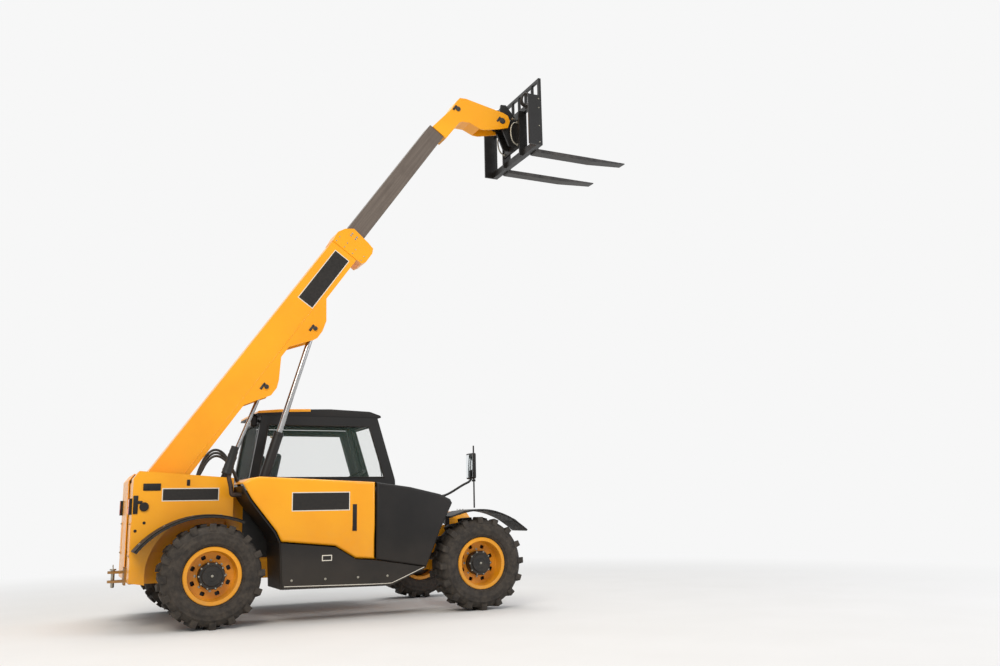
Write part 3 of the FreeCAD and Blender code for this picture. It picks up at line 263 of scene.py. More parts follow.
# hoses, window seals and fender strips: waxy black
extrudedFinish("extrudedRubber", "#1B1917", "#35312D", 0.6)
# blank dark vinyl patches, smoother than the paint round them
extrudedFinish("darkVinyl", "#191613", "#221E1A", 0.4)
# the pale border of the patches: off-white, a little yellowed
extrudedFinish("paleVinyl", "#E6E0D2", "#DAD3C4", 0.42)


# float glass and moulded lenses: clear with a film of dust that dulls the reflection in patches
def glazedFinish(name, tint, alpha):
    material, tree, place = newMaterial(name)
    cloud = addNode(tree, "ShaderNodeTexNoise", {"Scale": 5.0, "Detail": 4.0}, {"Vector": place})
    film = addNode(tree, "ShaderNodeMapRange", {"From Min": 0.3, "From Max": 0.8, "To Min": 0.02, "To Max": 0.07},
                   {"Value": cloud.outputs["Fac"]})
    closeMaterial(material, tree, {"Base Color": fromHex(tint), "Alpha": alpha, "IOR": 1.5}, {"Roughness": film.outputs[0]})


# green-tinted safety glass of the cab: the seat shows through
glazedFinish("safetyGlass", "#7E9C8C", 0.06)
# clear, red and amber lamp lenses: saturated, glossy
glazedFinish("clearLens", "#E9EEF0", 0.45)
glazedFinish("redLens", "#B3120C", 0.92)
glazedFinish("amberLens", "#E36A0A", 0.92)


# woven seat cloth: 2 mm threads drawn across both ways, with a soft sheen at grazing angles
def wovenCloth(name, base, second):
    material, tree, place = newMaterial(name)
    threads = [addNode(tree, "ShaderNodeTexWave", {"wave_type": "BANDS", "bands_direction": way, "Scale": 80.0,
                                                   "Distortion": 0.6},
                       {"Vector": place}).outputs["Fac"] for way in ("X", "Y", "Z")]
    crossed = addNode(tree, "ShaderNodeMath", {"operation": "MAXIMUM"}, {0: threads[0], 1: threads[1]})
    weave = addNode(tree, "ShaderNodeMath", {"operation": "MULTIPLY"}, {0: crossed.outputs[0], 1: threads[2]})
    colour = addNode(tree, "ShaderNodeMix", {"data_type": "RGBA", 6: fromHex(base), 7: fromHex(second)}, {0: weave.outputs[0]})
    bump = addNode(tree, "ShaderNodeBump", {"Distance": 0.0008, "Strength": 0.7}, {"Height": weave.outputs[0]})
    closeMaterial(material, tree, {"Roughness": 0.9, "Sheen Weight": 0.25, "Sheen Roughness": 0.5},
                  {"Base Color": colour.outputs[2], "Normal": bump.outputs[0]})


wovenCloth("wovenCloth", "#1D1D1F", "#3A3A3E")
print("materials ready:", len(finishes))


nodeFinishes = {
    "amberEnamel": ["main_frame", "boom_tower", "rear_panel_right", "rear_panel_left", "engine_bonnet", "boom_outer",
                    "boom_collar", "boom_head"],
    "rimEnamel": ["rim_front_left", "rim_front_right", "rim_rear_left", "rim_rear_right"],
    "axleEnamel": ["axle_front", "axle_rear", "drive_shaft", "knuckle_front_left", "knuckle_front_right",
                   "knuckle_rear_left", "knuckle_rear_right", "tow_hitch"],
    "blackEnamel": ["cab_frame", "cab_door", "engine_bay_wall", "carriage", "load_guard", "lift_barrel", "comp_barrel",
                    "tilt_barrel", "seat_base", "side_tank"],
    "mouldedPlastic": ["pod_front_cover", "pod_sill", "pod_rear_liner", "front_fenders", "cab_roof", "mirrors", "lamps"],
    "softTouchTrim": ["dashboard", "steering_wheel"],
    "brushedSteel": ["boom_inner"],
    "forgedSteel": ["forks"],
    "sandCastIron": ["counterweight", "engine_block"],
    "hardChrome": ["lift_rod", "comp_rod", "tilt_rod"],
    "safetyGlass": ["cab_glass", "door_glass"],
    "vulcanisedRubber": ["tyre_front_left", "tyre_front_right", "tyre_rear_left", "tyre_rear_right"],
    "extrudedRubber": ["rear_fenders"],
    "scaledSteel": ["exhaust_stack"],
    "wovenCloth": ["seat"],
}
for finish, names in nodeFinishes.items():
    for name in names:
        mesh = nodes[name].data
        mesh.materials.clear()
        mesh.materials.append(finishes[finish])
print("nodes finished:", sum(len(names) for names in nodeFinishes.values()), "of", len(nodes))


# shapes
def facing(axis):
    return Vector(axis).normalized().to_track_quat("Z", "Y").to_matrix().to_4x4()


def edgesOf(points):
    return list({edge for point in points for edge in point.link_edges})


def roundEdges(shape, edges, width, segments=2):
    if width > 0:
        bmesh.ops.bevel(shape, geom=edges, offset=width, offset_type="OFFSET", segments=segments, profile=0.5,
                        affect="EDGES", clamp_overlap=True, material=-1)


def addBlock(shape, low, high, softness=0.003, into=None, segments=2):
    low, high = Vector(low), Vector(high)
    made = bmesh.ops.create_cube(shape, size=1)["verts"]
    bmesh.ops.scale(shape, vec=high - low, verts=made)
    bmesh.ops.translate(shape, vec=(high + low) / 2, verts=made)
    if into is not None:
        bmesh.ops.transform(shape, matrix=into, verts=made)
    roundEdges(shape, edgesOf(made), softness, segments)


def addDisc(shape, centre, axis, radius, depth, softness=0.002, sides=32, narrow=None, into=None):
    place = Matrix.Translation(Vector(centre)) @ facing(axis)
    if into is not None:
        place = into @ place
    made = bmesh.ops.create_cone(shape, cap_ends=True, cap_tris=False, segments=sides, radius1=radius,
                                 radius2=radius if narrow is None else narrow, depth=depth, matrix=place)["verts"]
    if softness > 0:
        rims = [edge for edge in edgesOf(made) if any(len(face.verts) > 4 for face in edge.link_faces)]
        roundEdges(shape, rims, softness)


def addBolt(shape, centre, axis, size, into=None):
    axis = Vector(axis).normalized()
    centre = Vector(centre)
    addDisc(shape, centre + axis * size * 0.09, axis, size * 1.0, size * 0.18, size * 0.05, 20, into=into)
    addDisc(shape, centre + axis * size * 0.5, axis, size * 0.82, size * 0.64, size * 0.08, 6, into=into)


def addBoltRing(shape, centre, axis, ring, count, size, into=None, start=0.0):
    around = facing(axis)
    for number in range(count):
        turn = start + 2 * math.pi * number / count
        spot = Vector(centre) + around.to_3x3() @ Vector((ring * math.cos(turn), ring * math.sin(turn), 0))
        addBolt(shape, spot, axis, size, into)


def addTurned(shape, profile, centre, axis, steps=48, into=None):
    # profile is a list of (radius, height) from one end to the other
    place = Matrix.Translation(Vector(centre)) @ facing(axis)
    if into is not None:
        place = into @ place
    points = [shape.verts.new((radius, 0, height)) for radius, height in profile]
    edges = [shape.edges.new(pair) for pair in zip(points, points[1:])]
    made = bmesh.ops.spin(shape, geom=points + edges, cent=(0, 0, 0), axis=(0, 0, 1), dvec=(0, 0, 0), angle=2 * math.pi,
                          steps=steps, use_merge=True, use_duplicate=False)
    loose = {v for item in made["geom_last"] + points + edges for v in (item.verts if hasattr(item, "verts") else [item])}
    found = set(loose)
    queue = list(loose)
    while queue:
        for edge in queue.pop().link_edges:
            for point in edge.verts:
                if point not in found:
                    found.add(point)
                    queue.append(point)
    bmesh.ops.transform(shape, matrix=place, verts=list(found))


def addHose(shape, points, radius, into=None, closed=False, resolution=2, order=3):
    curve = bpy.data.curves.new("hosePath", "CURVE")
    curve.dimensions = "3D"
    curve.bevel_depth = radius
    curve.bevel_resolution = resolution
    curve.resolution_u = 6
    curve.use_fill_caps = not closed
    line = curve.splines.new("NURBS")
    line.points.add(len(points) - 1)
    for point, spot in zip(line.points, points):
        point.co = (*spot, 1)
    line.order_u = order
    line.use_endpoint_u = not closed
    line.use_cyclic_u = closed
    holder = bpy.data.objects.new("hosePath", curve)
    bpy.context.scene.collection.objects.link(holder)
    bpy.context.view_layer.update()
    made = bpy.data.meshes.new_from_object(holder.evaluated_get(bpy.context.evaluated_depsgraph_get()))
    if into is not None:
        made.transform(into)
    shape.from_mesh(made)
    bpy.data.objects.remove(holder)
    bpy.data.curves.remove(curve)
    bpy.data.meshes.remove(made)


def addSeal(shape, corners, radius, into=None):
    # a rubber section round a window, with tight corners
    path = []
    for number, corner in enumerate(corners):
        for other in (corners[number - 1], corners[(number + 1) % len(corners)]):
            step = (Vector(other) - Vector(corner)).normalized() * 0.02
            path.append(Vector(corner) + step)
            if other is corners[number - 1]:
                path.append(Vector(corner))
    addHose(shape, path, radius, into, closed=True, resolution=1)


def addPanel(shape, outline, low, high, softness=0.003, into=None, segments=2, rounded=None):
    # a closed plate: an outline in X and Z, grown from one Y to the other
    base = shape.faces.new([shape.verts.new((x, low, z)) for x, z in outline])
    grown = bmesh.ops.extrude_face_region(shape, geom=[base])["geom"]
    tops = [item for item in grown if isinstance(item, bmesh.types.BMVert)]
    bmesh.ops.translate(shape, vec=(0, high - low, 0), verts=tops)
    made = list({point for top in tops for edge in top.link_edges for point in edge.verts})
    if into is not None:
        bmesh.ops.transform(shape, matrix=into, verts=made)
    edges = edgesOf(made)
    if rounded is not None:
        edges = [edge for edge in edges if rounded(edge)]
    roundEdges(shape, edges, softness, segments)


def closeShape(name, shape, finish, body, sharp=35, clean=True):
    if clean:
        bmesh.ops.remove_doubles(shape, verts=shape.verts, dist=0.00002)
        bmesh.ops.recalc_face_normals(shape, faces=shape.faces)
    limit = math.radians(sharp)
    for face in shape.faces:
        face.smooth = True
    for edge in shape.edges:
        edge.smooth = len(edge.link_faces) == 2 and edge.calc_face_angle(0) < limit
    mesh = bpy.data.meshes.new(name)
    shape.to_mesh(mesh)
    shape.free()
    mesh.materials.append(finishes[finish])
    piece = bpy.data.objects.new(name, mesh)
    bpy.context.scene.collection.objects.link(piece)
    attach(piece, body)
    return piece


# tyres: a carcass with ribs on its walls and one slanted bar on each flat of the tread
tyre = {"radius": 0.409, "width": 0.310, "tread": 0.385, "bead": 0.2068, "bars": 16, "barWidth": 0.054, "lean": 0.028}


def makeTyre(name, centre, side, body, node):
    shape = bmesh.new()
    half = tyre["width"] / 2
    tread = tyre["tread"]
    bead = tyre["bead"]
    wall = [(bead, half - 0.043), (bead + 0.006, half - 0.039), (bead + 0.024, half - 0.036), (bead + 0.030, half - 0.028),
            (bead + 0.034, half - 0.022), (bead + 0.042, half - 0.021), (bead + 0.046, half - 0.012),
            (bead + 0.080, half - 0.003),
            (bead + 0.086, half), (bead + 0.092, half), (bead + 0.097, half - 0.002), (bead + 0.125, half - 0.002),
            (bead + 0.129, half - 0.001), (bead + 0.134, half - 0.004), (tread - 0.028, half - 0.014),
            (tread - 0.010, half - 0.027),
            (tread, half - 0.042)]
    profile = wall + [(tread + 0.002, 0.04), (tread + 0.002, -0.04)] + [(r, -h) for r, h in reversed(wall)]
    addTurned(shape, profile, (0, 0, 0), (0, 1, 0), 96)
    done = set(shape.verts)
    reach = half - 0.006
    for hand in (1, -1):
        for number in range(tyre["bars"]):
            turn = 2 * math.pi * (number + (0.5 if hand < 0 else 0)) / tyre["bars"]
            made = bmesh.ops.create_cube(shape, size=1)["verts"]
            for point in made:
                along = point.co.y + 0.5
                across = point.co.x * tyre["barWidth"] * (1.12 if point.co.z < 0 else 0.96)
                low = tread - 0.012 - 0.022 * along
                point.co = Vector((across + (along - 0.5) * tyre["lean"], -0.010 + along * (reach + 0.010),
                                   tyre["radius"] if point.co.z > 0 else low))
            rims = [edge for edge in edgesOf(made) if all(point.co.z > tread for point in edge.verts)]
            corners = [edge for edge in edgesOf(made) if abs(edge.verts[0].co.z - edge.verts[1].co.z) > 0.02]
            roundEdges(shape, rims + corners, 0.004, 2)
            bar = [point for point in shape.verts if point not in done]
            for point in bar:
                around = turn + point.co.x / tyre["radius"]
                lift = point.co.z
                point.co = Vector((lift * math.sin(around), point.co.y * hand, lift * math.cos(around)))
            done.update(bar)
    bmesh.ops.transform(shape, matrix=Matrix.Translation(centre) @ Matrix.Rotation(0 if side > 0 else math.pi, 4, "Z"),
                        verts=shape.verts)
    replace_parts(closeShape(name, shape, "vulcanisedRubber", body, 40), node)


# rims: a rolled barrel with two flanges and a dished disc with eight hand holes, and the hub's drum in its middle
rim = {"half": 0.128, "lip": 0.1143, "flange": 0.2280, "barrel": 0.2055, "wall": 0.196, "disc": 0.008, "drum": 0.1065,
       "holes": 8, "holeRing": 0.150, "nutRing": 0.1195, "studRing": 0.0895}


def makeRim(where, centre, outward, body):
    half, lip = rim["half"], rim["lip"]
    shape = bmesh.new()
    section = [(rim["wall"], half), (rim["flange"] - 0.005, half), (rim["flange"], half - 0.005), (rim["flange"], lip + 0.001),
               (rim["barrel"], lip), (rim["barrel"], -lip), (rim["flange"], -lip - 0.001), (rim["flange"], -half + 0.005),
               (rim["flange"] - 0.005, -half), (rim["wall"], -half), (rim["wall"], -0.020), (0.188, -rim["disc"]),
               (0.104, -rim["disc"]), (0.104, rim["disc"]), (0.184, rim["disc"]), (rim["wall"] - 0.002, 0.020),
               (rim["wall"], 0.034)]
    addTurned(shape, section + section[:1], centre, outward, 64)
    bmesh.ops.remove_doubles(shape, verts=shape.verts, dist=0.00002)
    piece = closeShape("rolledRim_" + where, shape, "rimEnamel", body, 30)
    cutter = bmesh.new()
    around = facing(outward)
    for number in range(rim["holes"]):
        turn = Matrix.Rotation(2 * math.pi * (number + 0.5) / rim["holes"], 4, "Z")
        addBlock(cutter, (rim["holeRing"] - 0.016, -0.019, -0.03), (rim["holeRing"] + 0.016, 0.019, 0.03), 0.009,
                 Matrix.Translation(centre) @ around @ turn, 3)
    mesh = bpy.data.meshes.new("handHoles")
    cutter.to_mesh(mesh)
    cutter.free()
    tool = bpy.data.objects.new("handHoles", mesh)
    bpy.context.scene.collection.objects.link(tool)
    opening = piece.modifiers.new("handHoles", "BOOLEAN")
    opening.object = tool
    opening.operation = "DIFFERENCE"
    bpy.context.view_layer.update()
    cutMesh = bpy.data.meshes.new_from_object(piece.evaluated_get(bpy.context.evaluated_depsgraph_get()))
    piece.modifiers.clear()
    piece.data = cutMesh
    bpy.data.objects.remove(tool)
    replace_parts(piece, "rim_" + where)

    shape = bmesh.new()
    drum = rim["drum"]
    addTurned(shape, [(0.0, -0.014), (0.102, -0.014), (drum, -0.008), (drum, 0.004), (drum - 0.004, 0.010), (drum - 0.004, 0.066),
                      (drum, 0.070), (drum, 0.078), (0.1035, 0.086), (0.100, 0.094), (0.0815, 0.0945), (0.0795, 0.0965),
                      (0.079, 0.104), (0.076, 0.1075), (0.040, 0.108), (0.038, 0.1055), (0.0, 0.1055)], centre, outward, 56)
    for number in range(10):
        turn = 2 * math.pi * number / 10
        spot = Vector(centre) + around.to_3x3() @ Vector((0.101 * math.cos(turn), 0.101 * math.sin(turn), 0.079))
        addDisc(shape, spot, outward, 0.0115, 0.028, 0.003, 16)
    closeShape("hubDrum_" + where, shape, "blackEnamel", body, 30)
    shape = bmesh.new()
    addBoltRing(shape, centre + outward * rim["disc"], outward, rim["nutRing"], 8, 0.0105, start=0)
    addBoltRing(shape, centre + outward * 0.093, outward, 0.101, 10, 0.0065)
    addDisc(shape, centre + outward * 0.1075, outward, 0.011, 0.006, 0.001, 6)
    closeShape("wheelNuts_" + where, shape, "zincPlate", body, 30)


# knuckles: a kingpin block, a short arm and the flange that the drum turns against
knuckle = {"block": 0.047, "half": 0.0715, "arm": 0.052, "flange": 0.096, "flangeAt": 0.127, "stub": 0.0315}


def makeKnuckle(where, centre, outward, body):
    shape = bmesh.new()
    pivot = centre - outward * 0.165
    addTurned(shape, [(0.0, -knuckle["half"]), (knuckle["block"] - 0.004, -knuckle["half"]),
                      (knuckle["block"], -knuckle["half"] + 0.004),
                      (knuckle["block"], knuckle["half"] - 0.004), (knuckle["block"] - 0.004, knuckle["half"]),
                      (0.0, knuckle["half"])],
              pivot, (0, 0, 1), 40)
    addBlock(shape, (-0.038, 0.020, -knuckle["arm"]), (0.038, knuckle["flangeAt"] - 0.006, knuckle["arm"]), 0.010,
             Matrix.Translation(pivot) @ Matrix.Rotation(0 if outward.y > 0 else math.pi, 4, "Z"), 3)
    flange = knuckle["flange"]
    addTurned(shape, [(0.0, 0.112), (0.070, 0.112), (0.078, 0.117), (flange - 0.003, 0.117), (flange, 0.120), (flange, 0.134),
                      (flange - 0.003, 0.137), (0.052, 0.138), (knuckle["stub"], 0.148), (knuckle["stub"], 0.1905),
                      (0.0, 0.1905)],
              pivot, outward, 48)
    addBoltRing(shape, pivot + outward * 0.117, -outward, 0.086, 12, 0.006)
    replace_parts(closeShape("steerKnuckle_" + where, shape, "axleEnamel", body, 30), "knuckle_" + where)
    # pressed black plate that fills the rim's inner side: painted shade, so the hand holes look dark as if in shadow
    shape = bmesh.new()
    loop = [(0.092, -0.042), (0.150, -0.042), (0.180, -0.036), (0.187, -0.030), (0.187, -0.024), (0.181, -0.024), (0.176, -0.031),
            (0.148, -0.037), (0.092, -0.037)]
    addTurned(shape, loop + loop[:1], centre, outward, 48)
    closeShape("shadePlate_" + where, shape, "blackEnamel", body, 30)


for end, axleX in (("front", frontAxleX), ("rear", rearAxleX)):
    for hand, side in (("left", 1), ("right", -1)):
        where = "%s_%s" % (end, hand)
        middle = Vector((axleX, side * 0.765, 0.409))
        outward = Vector((0, side, 0))
        makeTyre("treadedTyre_" + where, middle, side, "wheel_" + where, "tyre_" + where)
        makeRim(where, middle, outward, "wheel_" + where)
        makeKnuckle(where, middle, outward, "knuckle_" + where)
print("wheels dressed")

# axles: a cast bowl that swells out of the tube, yokes with kingpin caps, and bolted pads under the frame
axle = {"tube": 0.0745, "bowl": 0.1505, "arm": 0.504, "king": 0.600, "plateLow": 0.072, "plateHigh": 0.098}
for end, axleX in (("front", frontAxleX), ("rear", rearAxleX)):
    into = Matrix.Translation((axleX, 0, 0.409))
    shape = bmesh.new()
    tube, bowl = axle["tube"], axle["bowl"]
    half = [(tube, axle["arm"]), (tube, 0.235), (tube + 0.012, 0.200), (0.106, 0.150), (0.118, 0.126), (0.140, 0.092),
            (bowl - 0.004, 0.072),
            (bowl, 0.060)]
    profile = [(0.0, -axle["arm"])] + [(r, -y) for r, y in half] + [(r, y) for r, y in reversed(half)] + [(0.0, axle["arm"])]
    addTurned(shape, profile, (0, 0, 0), (0, 1, 0), 56, into)
    for side in (1, -1):
        king = axle["king"] * side
        for level in (1, -1):
            low, high = sorted((axle["plateLow"] * level, axle["plateHigh"] * level))
            inner, outer = sorted((king - 0.100 * side, king + 0.040 * side))
            addBlock(shape, (-0.042, inner, low), (0.042, outer, high), 0.009, into, 3)
            addDisc(shape, (0, king, 0.100 * level), (0, 0, level), 0.036, 0.008, 0.002, 32, into=into)
            addBoltRing(shape, (0, king, 0.103 * level), (0, 0, level), 0.026, 4, 0.005, into)
        inner, outer = sorted((king - 0.106 * side, king - 0.056 * side))
        addBlock(shape, (-0.042, inner, -0.085), (0.042, outer, 0.085), 0.010, into, 3)
        inner, outer = sorted((0.332 * side, 0.392 * side))
        addBlock(shape, (-0.090, inner, 0.010), (0.090, outer, 0.1505), 0.006, into)
        for x in (-0.07, 0.07):
            addBolt(shape, (x, (0.340 if side > 0 else -0.340), 0.020), (0, 0, -1), 0.010, into)
    facingOut = 1 if end == "front" else -1
    addTurned(shape, [(0.0, 0.150), (0.050, 0.150), (0.058, 0.146), (0.112, 0.100), (0.112, 0.060)], (0, 0, 0), (facingOut, 0, 0),
              40, into)
    addBoltRing(shape, (0.116 * facingOut, 0, 0), (facingOut, 0, 0), 0.088, 10, 0.006, into)
    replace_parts(closeShape("castAxle_" + end, shape, "axleEnamel", "chassis", 30), "axle_" + end)

# drive shaft: a thin tube between two forked joints
shape = bmesh.new()
line = Matrix.Translation((rearAxleX, 0, 0.409))
addTurned(shape, [(0.0, 0.205), (0.024, 0.205), (0.026, 0.212), (0.026, 2.128), (0.024, 2.135), (0.0, 2.135)], (0, 0, 0),
          (1, 0, 0), 32, line)
for start, way in ((0.1505, 1), (2.1895, -1)):
    addTurned(shape, [(0.0, 0.0), (0.043, 0.0), (0.043, 0.009), (0.026, 0.012), (0.030, 0.054), (0.0, 0.054)], (start, 0, 0),
              (way, 0, 0), 32, line)
    addBoltRing(shape, (start + 0.009 * way, 0, 0), (way, 0, 0), 0.035, 4, 0.005, line)
    addDisc(shape, (start + 0.034 * way, 0, 0), (0, 1, 0), 0.011, 0.084, 0.002, 20, into=line)
    addDisc(shape, (start + 0.034 * way, 0, 0), (0, 0, 1), 0.011, 0.084, 0.002, 20, into=line)
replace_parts(closeShape("jointedShaft", shape, "blackEnamel", "chassis", 30), "drive_shaft")
print("axles dressed")

# rams: honed tubes with a screwed gland and welded ports, and plated rods that end in a forged eye
rams = {
    "lift": {"foot": chassisFrame @ Vector((0.290, -0.250, 0.480)), "eye": boomFrame @ Vector((1.977, -0.050, -0.275)),
             "tube": 0.046,
             "rod": 0.027, "length": 1.180, "rodLength": 1.225, "pin": 0.024, "eyeRadius": 0.0335, "width": 0.084},
    "comp": {"foot": chassisFrame @ Vector((-0.026, -0.140, 0.665)), "eye": boomFrame @ Vector((1.265, 0.060, -0.246)),
             "tube": 0.033,
             "rod": 0.019, "length": 0.790, "rodLength": 0.792, "pin": 0.020, "eyeRadius": 0.0335, "width": 0.060},
    "tilt": {"foot": boomFrame @ Vector((4.857, 0, -0.062)), "eye": carriageFrame @ Vector((0.034, 0, 0.160)), "tube": 0.037,
             "rod": 0.018, "length": 0.376, "rodLength": 0.360, "pin": 0.020, "eyeRadius": 0.0295, "width": 0.064},
}
for name, ram in rams.items():
    foot, eye = ram["foot"], ram["eye"]
    along = (eye - foot).normalized()
    across = Vector((0, 1, 0))
    into = Matrix.Translation(foot) @ Matrix((along, across, along.cross(across))).transposed().to_4x4()
    tube, rod, length, pin = ram["tube"], ram["rod"], ram["length"], ram["pin"]
    reach = (eye - foot).length
    outer = pin + 0.014
    half = ram["width"] / 2
    shape = bmesh.new()
    loop = [(pin + 0.0002, -half), (outer - 0.003, -half), (outer, -half + 0.003), (outer, half - 0.003), (outer - 0.003, half),
            (pin + 0.0002, half)]
    addTurned(shape, loop + loop[:1], (0, 0, 0), (0, 1, 0), 40, into)
    start = pin + 0.028
    gland = tube + 0.0012
    loop = [(rod + 0.0006, start + 0.004), (rod + 0.0006, length), (tube - 0.006, length), (gland, length - 0.004),
            (gland, length - 0.032),
            (tube - 0.001, length - 0.034), (tube - 0.001, start - 0.010), (tube - 0.008, start - 0.016), (0.0, start - 0.016)]
    addTurned(shape, [(0.0, start + 0.004)] + loop, (0, 0, 0), (1, 0, 0), 44, into)
    closed = closeShape(name + "Barrel", shape, "blackEnamel", name + "_barrel", 30)
    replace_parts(closed, name + "_barrel")
    shape = bmesh.new()
    addTurned(shape, [(0.0, reach - ram["rodLength"]), (rod - 0.002, reach - ram["rodLength"]),
                      (rod, reach - ram["rodLength"] + 0.002),
                      (rod, reach - ram["eyeRadius"] * 0.8), (0.0, reach - ram["eyeRadius"] * 0.8)], (0, 0, 0), (1, 0, 0), 36,
              into)
    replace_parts(closeShape(name + "Rod", shape, "hardChrome", name + "_rod", 30), name + "_rod")
    shape = bmesh.new()
    half = ram["width"] / 2 - 0.010
    outer = ram["eyeRadius"]
    loop = [(outer - 0.013, -half), (outer - 0.003, -half), (outer, -half + 0.003), (outer, half - 0.003), (outer - 0.003, half),
            (outer - 0.013, half)]
    addTurned(shape, loop + loop[:1], (reach, 0, 0), (0, 1, 0), 40, into)
    closeShape(name + "RodEye", shape, "blackEnamel", name + "_rod", 30)
    shape = bmesh.new()
    for place in (start + 0.030, length - 0.060):
        addDisc(shape, (place, 0, tube + 0.004), (0, 0, 1), 0.010, 0.014, 0.002, 20, into=into)
        addDisc(shape, (place, 0, tube + 0.014), (0, 0, 1), 0.0075, 0.010, 0.001, 6, into=into)
    addDisc(shape, (0, half + 0.004 + 0.006, 0), (0, 1, 0), 0.005, 0.004, 0.001, 12, into=into)
    closeShape(name + "Ports", shape, "zincPlate", name + "_barrel", 30)
print("rams dressed")

# boom: pin caps with keeper plates and bolts, weld beads, wear-pad bolts on the collar and blank vinyl on the side
boomPins = {"lift": (1.977, -0.275, 0.127), "comp": (1.265, -0.246, 0.127)}
shape = bmesh.new()
for x, z, face in boomPins.values():
    for side in (1, -1):
        addDisc(shape, (x, side * (face + 0.004), z), (0, side, 0), 0.021, 0.010, 0.002, 32, into=boomFrame)
        addBlock(shape, (x - 0.050, side * face - 0.003, z + 0.018), (x + 0.020, side * face + 0.006, z + 0.040), 0.002,
                 boomFrame)
        for spot in (x - 0.040, x + 0.008):
            addBolt(shape, (spot, side * (face + 0.006), z + 0.029), (0, side, 0), 0.006, boomFrame)
closeShape("boomPinCaps", shape, "forgedSteel", "boom_outer", 30)

shape = bmesh.new()
for side in (1, -1):
    for x in (2.936, 2.960):
        for z in (-0.058, -0.002):
            addBolt(shape, (x, side * 0.133, z), (0, side, 0), 0.009, boomFrame)
    for x in (2.800, 2.850):
        for z in (-0.225, -0.120, -0.020, 0.075):
            addBolt(shape, (x, side * 0.133, z), (0, side, 0), 0.006, boomFrame)
closeShape("collarBolts", shape, "zincPlate", "boom_outer", 30)

shape = bmesh.new()
for side in (1, -1):
    addHose(shape, [(2.779, side * 0.1255, z) for z in (-0.180, -0.05, 0.096)], 0.004, boomFrame, resolution=1)
    addHose(shape, [(x, side * 0.1245, -0.1455) for x in (0.13, 1.0, 1.9, 2.75)], 0.0035, boomFrame, resolution=1)
    for x, z, face in boomPins.values():
        addTurned(shape, [(0.029, 0.1248), (0.0345, 0.1248), (0.0305, 0.1285)] + [(0.029, 0.1248)], (x, 0, z), (0, side, 0), 32,
                  boomFrame)
closeShape("boomWelds", shape, "amberEnamel", "boom_outer", 60)

shape = bmesh.new()
addDisc(shape, (-0.437, -0.374, 1.122), (0, -1, 0), 0.048, 0.008, 0.002, 40, into=chassisFrame)
addDisc(shape, (-0.437, -0.026, 1.122), (0, 1, 0), 0.048, 0.008, 0.002, 40, into=chassisFrame)
for face, way in ((-0.372, -1), (-0.028, 1)):
    addBlock(shape, (-0.480, face - 0.004, 1.160), (-0.394, face + 0.004, 1.186), 0.002, chassisFrame)
    for x in (-0.466, -0.408):
        addBolt(shape, (x, face + 0.004 * way, 1.173), (0, way, 0), 0.008, chassisFrame)
    addDisc(shape, (-0.026, face + 0.001 * way, 0.665), (0, way, 0), 0.026, 0.008, 0.002, 32, into=chassisFrame)
closeShape("towerPinCaps", shape, "forgedSteel", "chassis", 30)

shape = bmesh.new()
for x, z, radius, face in ((5.120, -0.510, 0.034, 0.102), (4.857, -0.062, 0.027, 0.102)):
    for side in (1, -1):
        addDisc(shape, (x, side * face, z), (0, side, 0), radius, 0.010, 0.002, 32, into=boomFrame)
        addBlock(shape, (x - 0.048, side * face - 0.004, z + radius - 0.004),
                 (x + 0.018, side * face + 0.004, z + radius + 0.018), 0.002, boomFrame)
        for spot in (x - 0.036, x + 0.006):
            addBolt(shape, (spot, side * (face + 0.004), z + radius + 0.007), (0, side, 0), 0.006, boomFrame)
closeShape("headPinCaps", shape, "forgedSteel", "boom_inner", 30)

# gusset that closes the gap between the right rear panel and the engine's wall
shape = bmesh.new()
addPanel(shape, [(0.170, 0.640), (0.310, 0.640), (0.310, 1.080), (0.170, 1.135)], -0.386, -0.374, 0.003, chassisFrame)
closeShape("towerGusset", shape, "amberEnamel", "chassis", 30)

# hoses that loop over the side of the tower into the pod, and the tubes and hoses of the carriage
towerHoses = {"radius": 0.0105, "apart": 0.026, "count": 3}
shape = bmesh.new()
for number in range(towerHoses["count"]):
    y = -0.383 - number * towerHoses["apart"]
    drop = number * 0.028
    addHose(shape, [(-0.110, y, 1.120), (-0.085, y, 1.200), (-0.060, y, 1.290 - drop), (-0.010, y, 1.400 - drop),
                    (0.065, y, 1.450 - drop),
                    (0.150, y, 1.400 - drop), (0.215, y, 1.260), (0.262, y - 0.02, 1.130), (0.300, y - 0.03, 1.060)],
            towerHoses["radius"], chassisFrame)
closeShape("towerHoses", shape, "extrudedRubber", "chassis", 60)
shape = bmesh.new()
for y in (-0.160, 0.160):
    addHose(shape, [(0.158, y, -0.020), (0.118, y, -0.022), (0.080, y, -0.060), (0.066, y, -0.140), (0.080, y, -0.225),
                    (0.118, y, -0.270), (0.158, y, -0.272)],
            0.008, carriageFrame)
    for z in (-0.020, -0.272):
        addDisc(shape, (0.148, y, z), (-1, 0, 0), 0.014, 0.018, 0.002, 6, into=carriageFrame)
closeShape("carriageTubes", shape, "zincPlate", "carriage", 60)
shape = bmesh.new()
for y in (-0.330, -0.300):
    addHose(shape, [(0.196, y, 0.110), (0.150, y, 0.112), (0.118, y - 0.01, 0.150), (0.118, y - 0.04, 0.205),
                    (0.132, y - 0.09, 0.215), (0.150, y - 0.13, 0.170),
                    (0.158, y - 0.14, 0.120), (0.196, y - 0.14, 0.108)], 0.010, carriageFrame)
closeShape("carriageHoses", shape, "extrudedRubber", "carriage", 60)

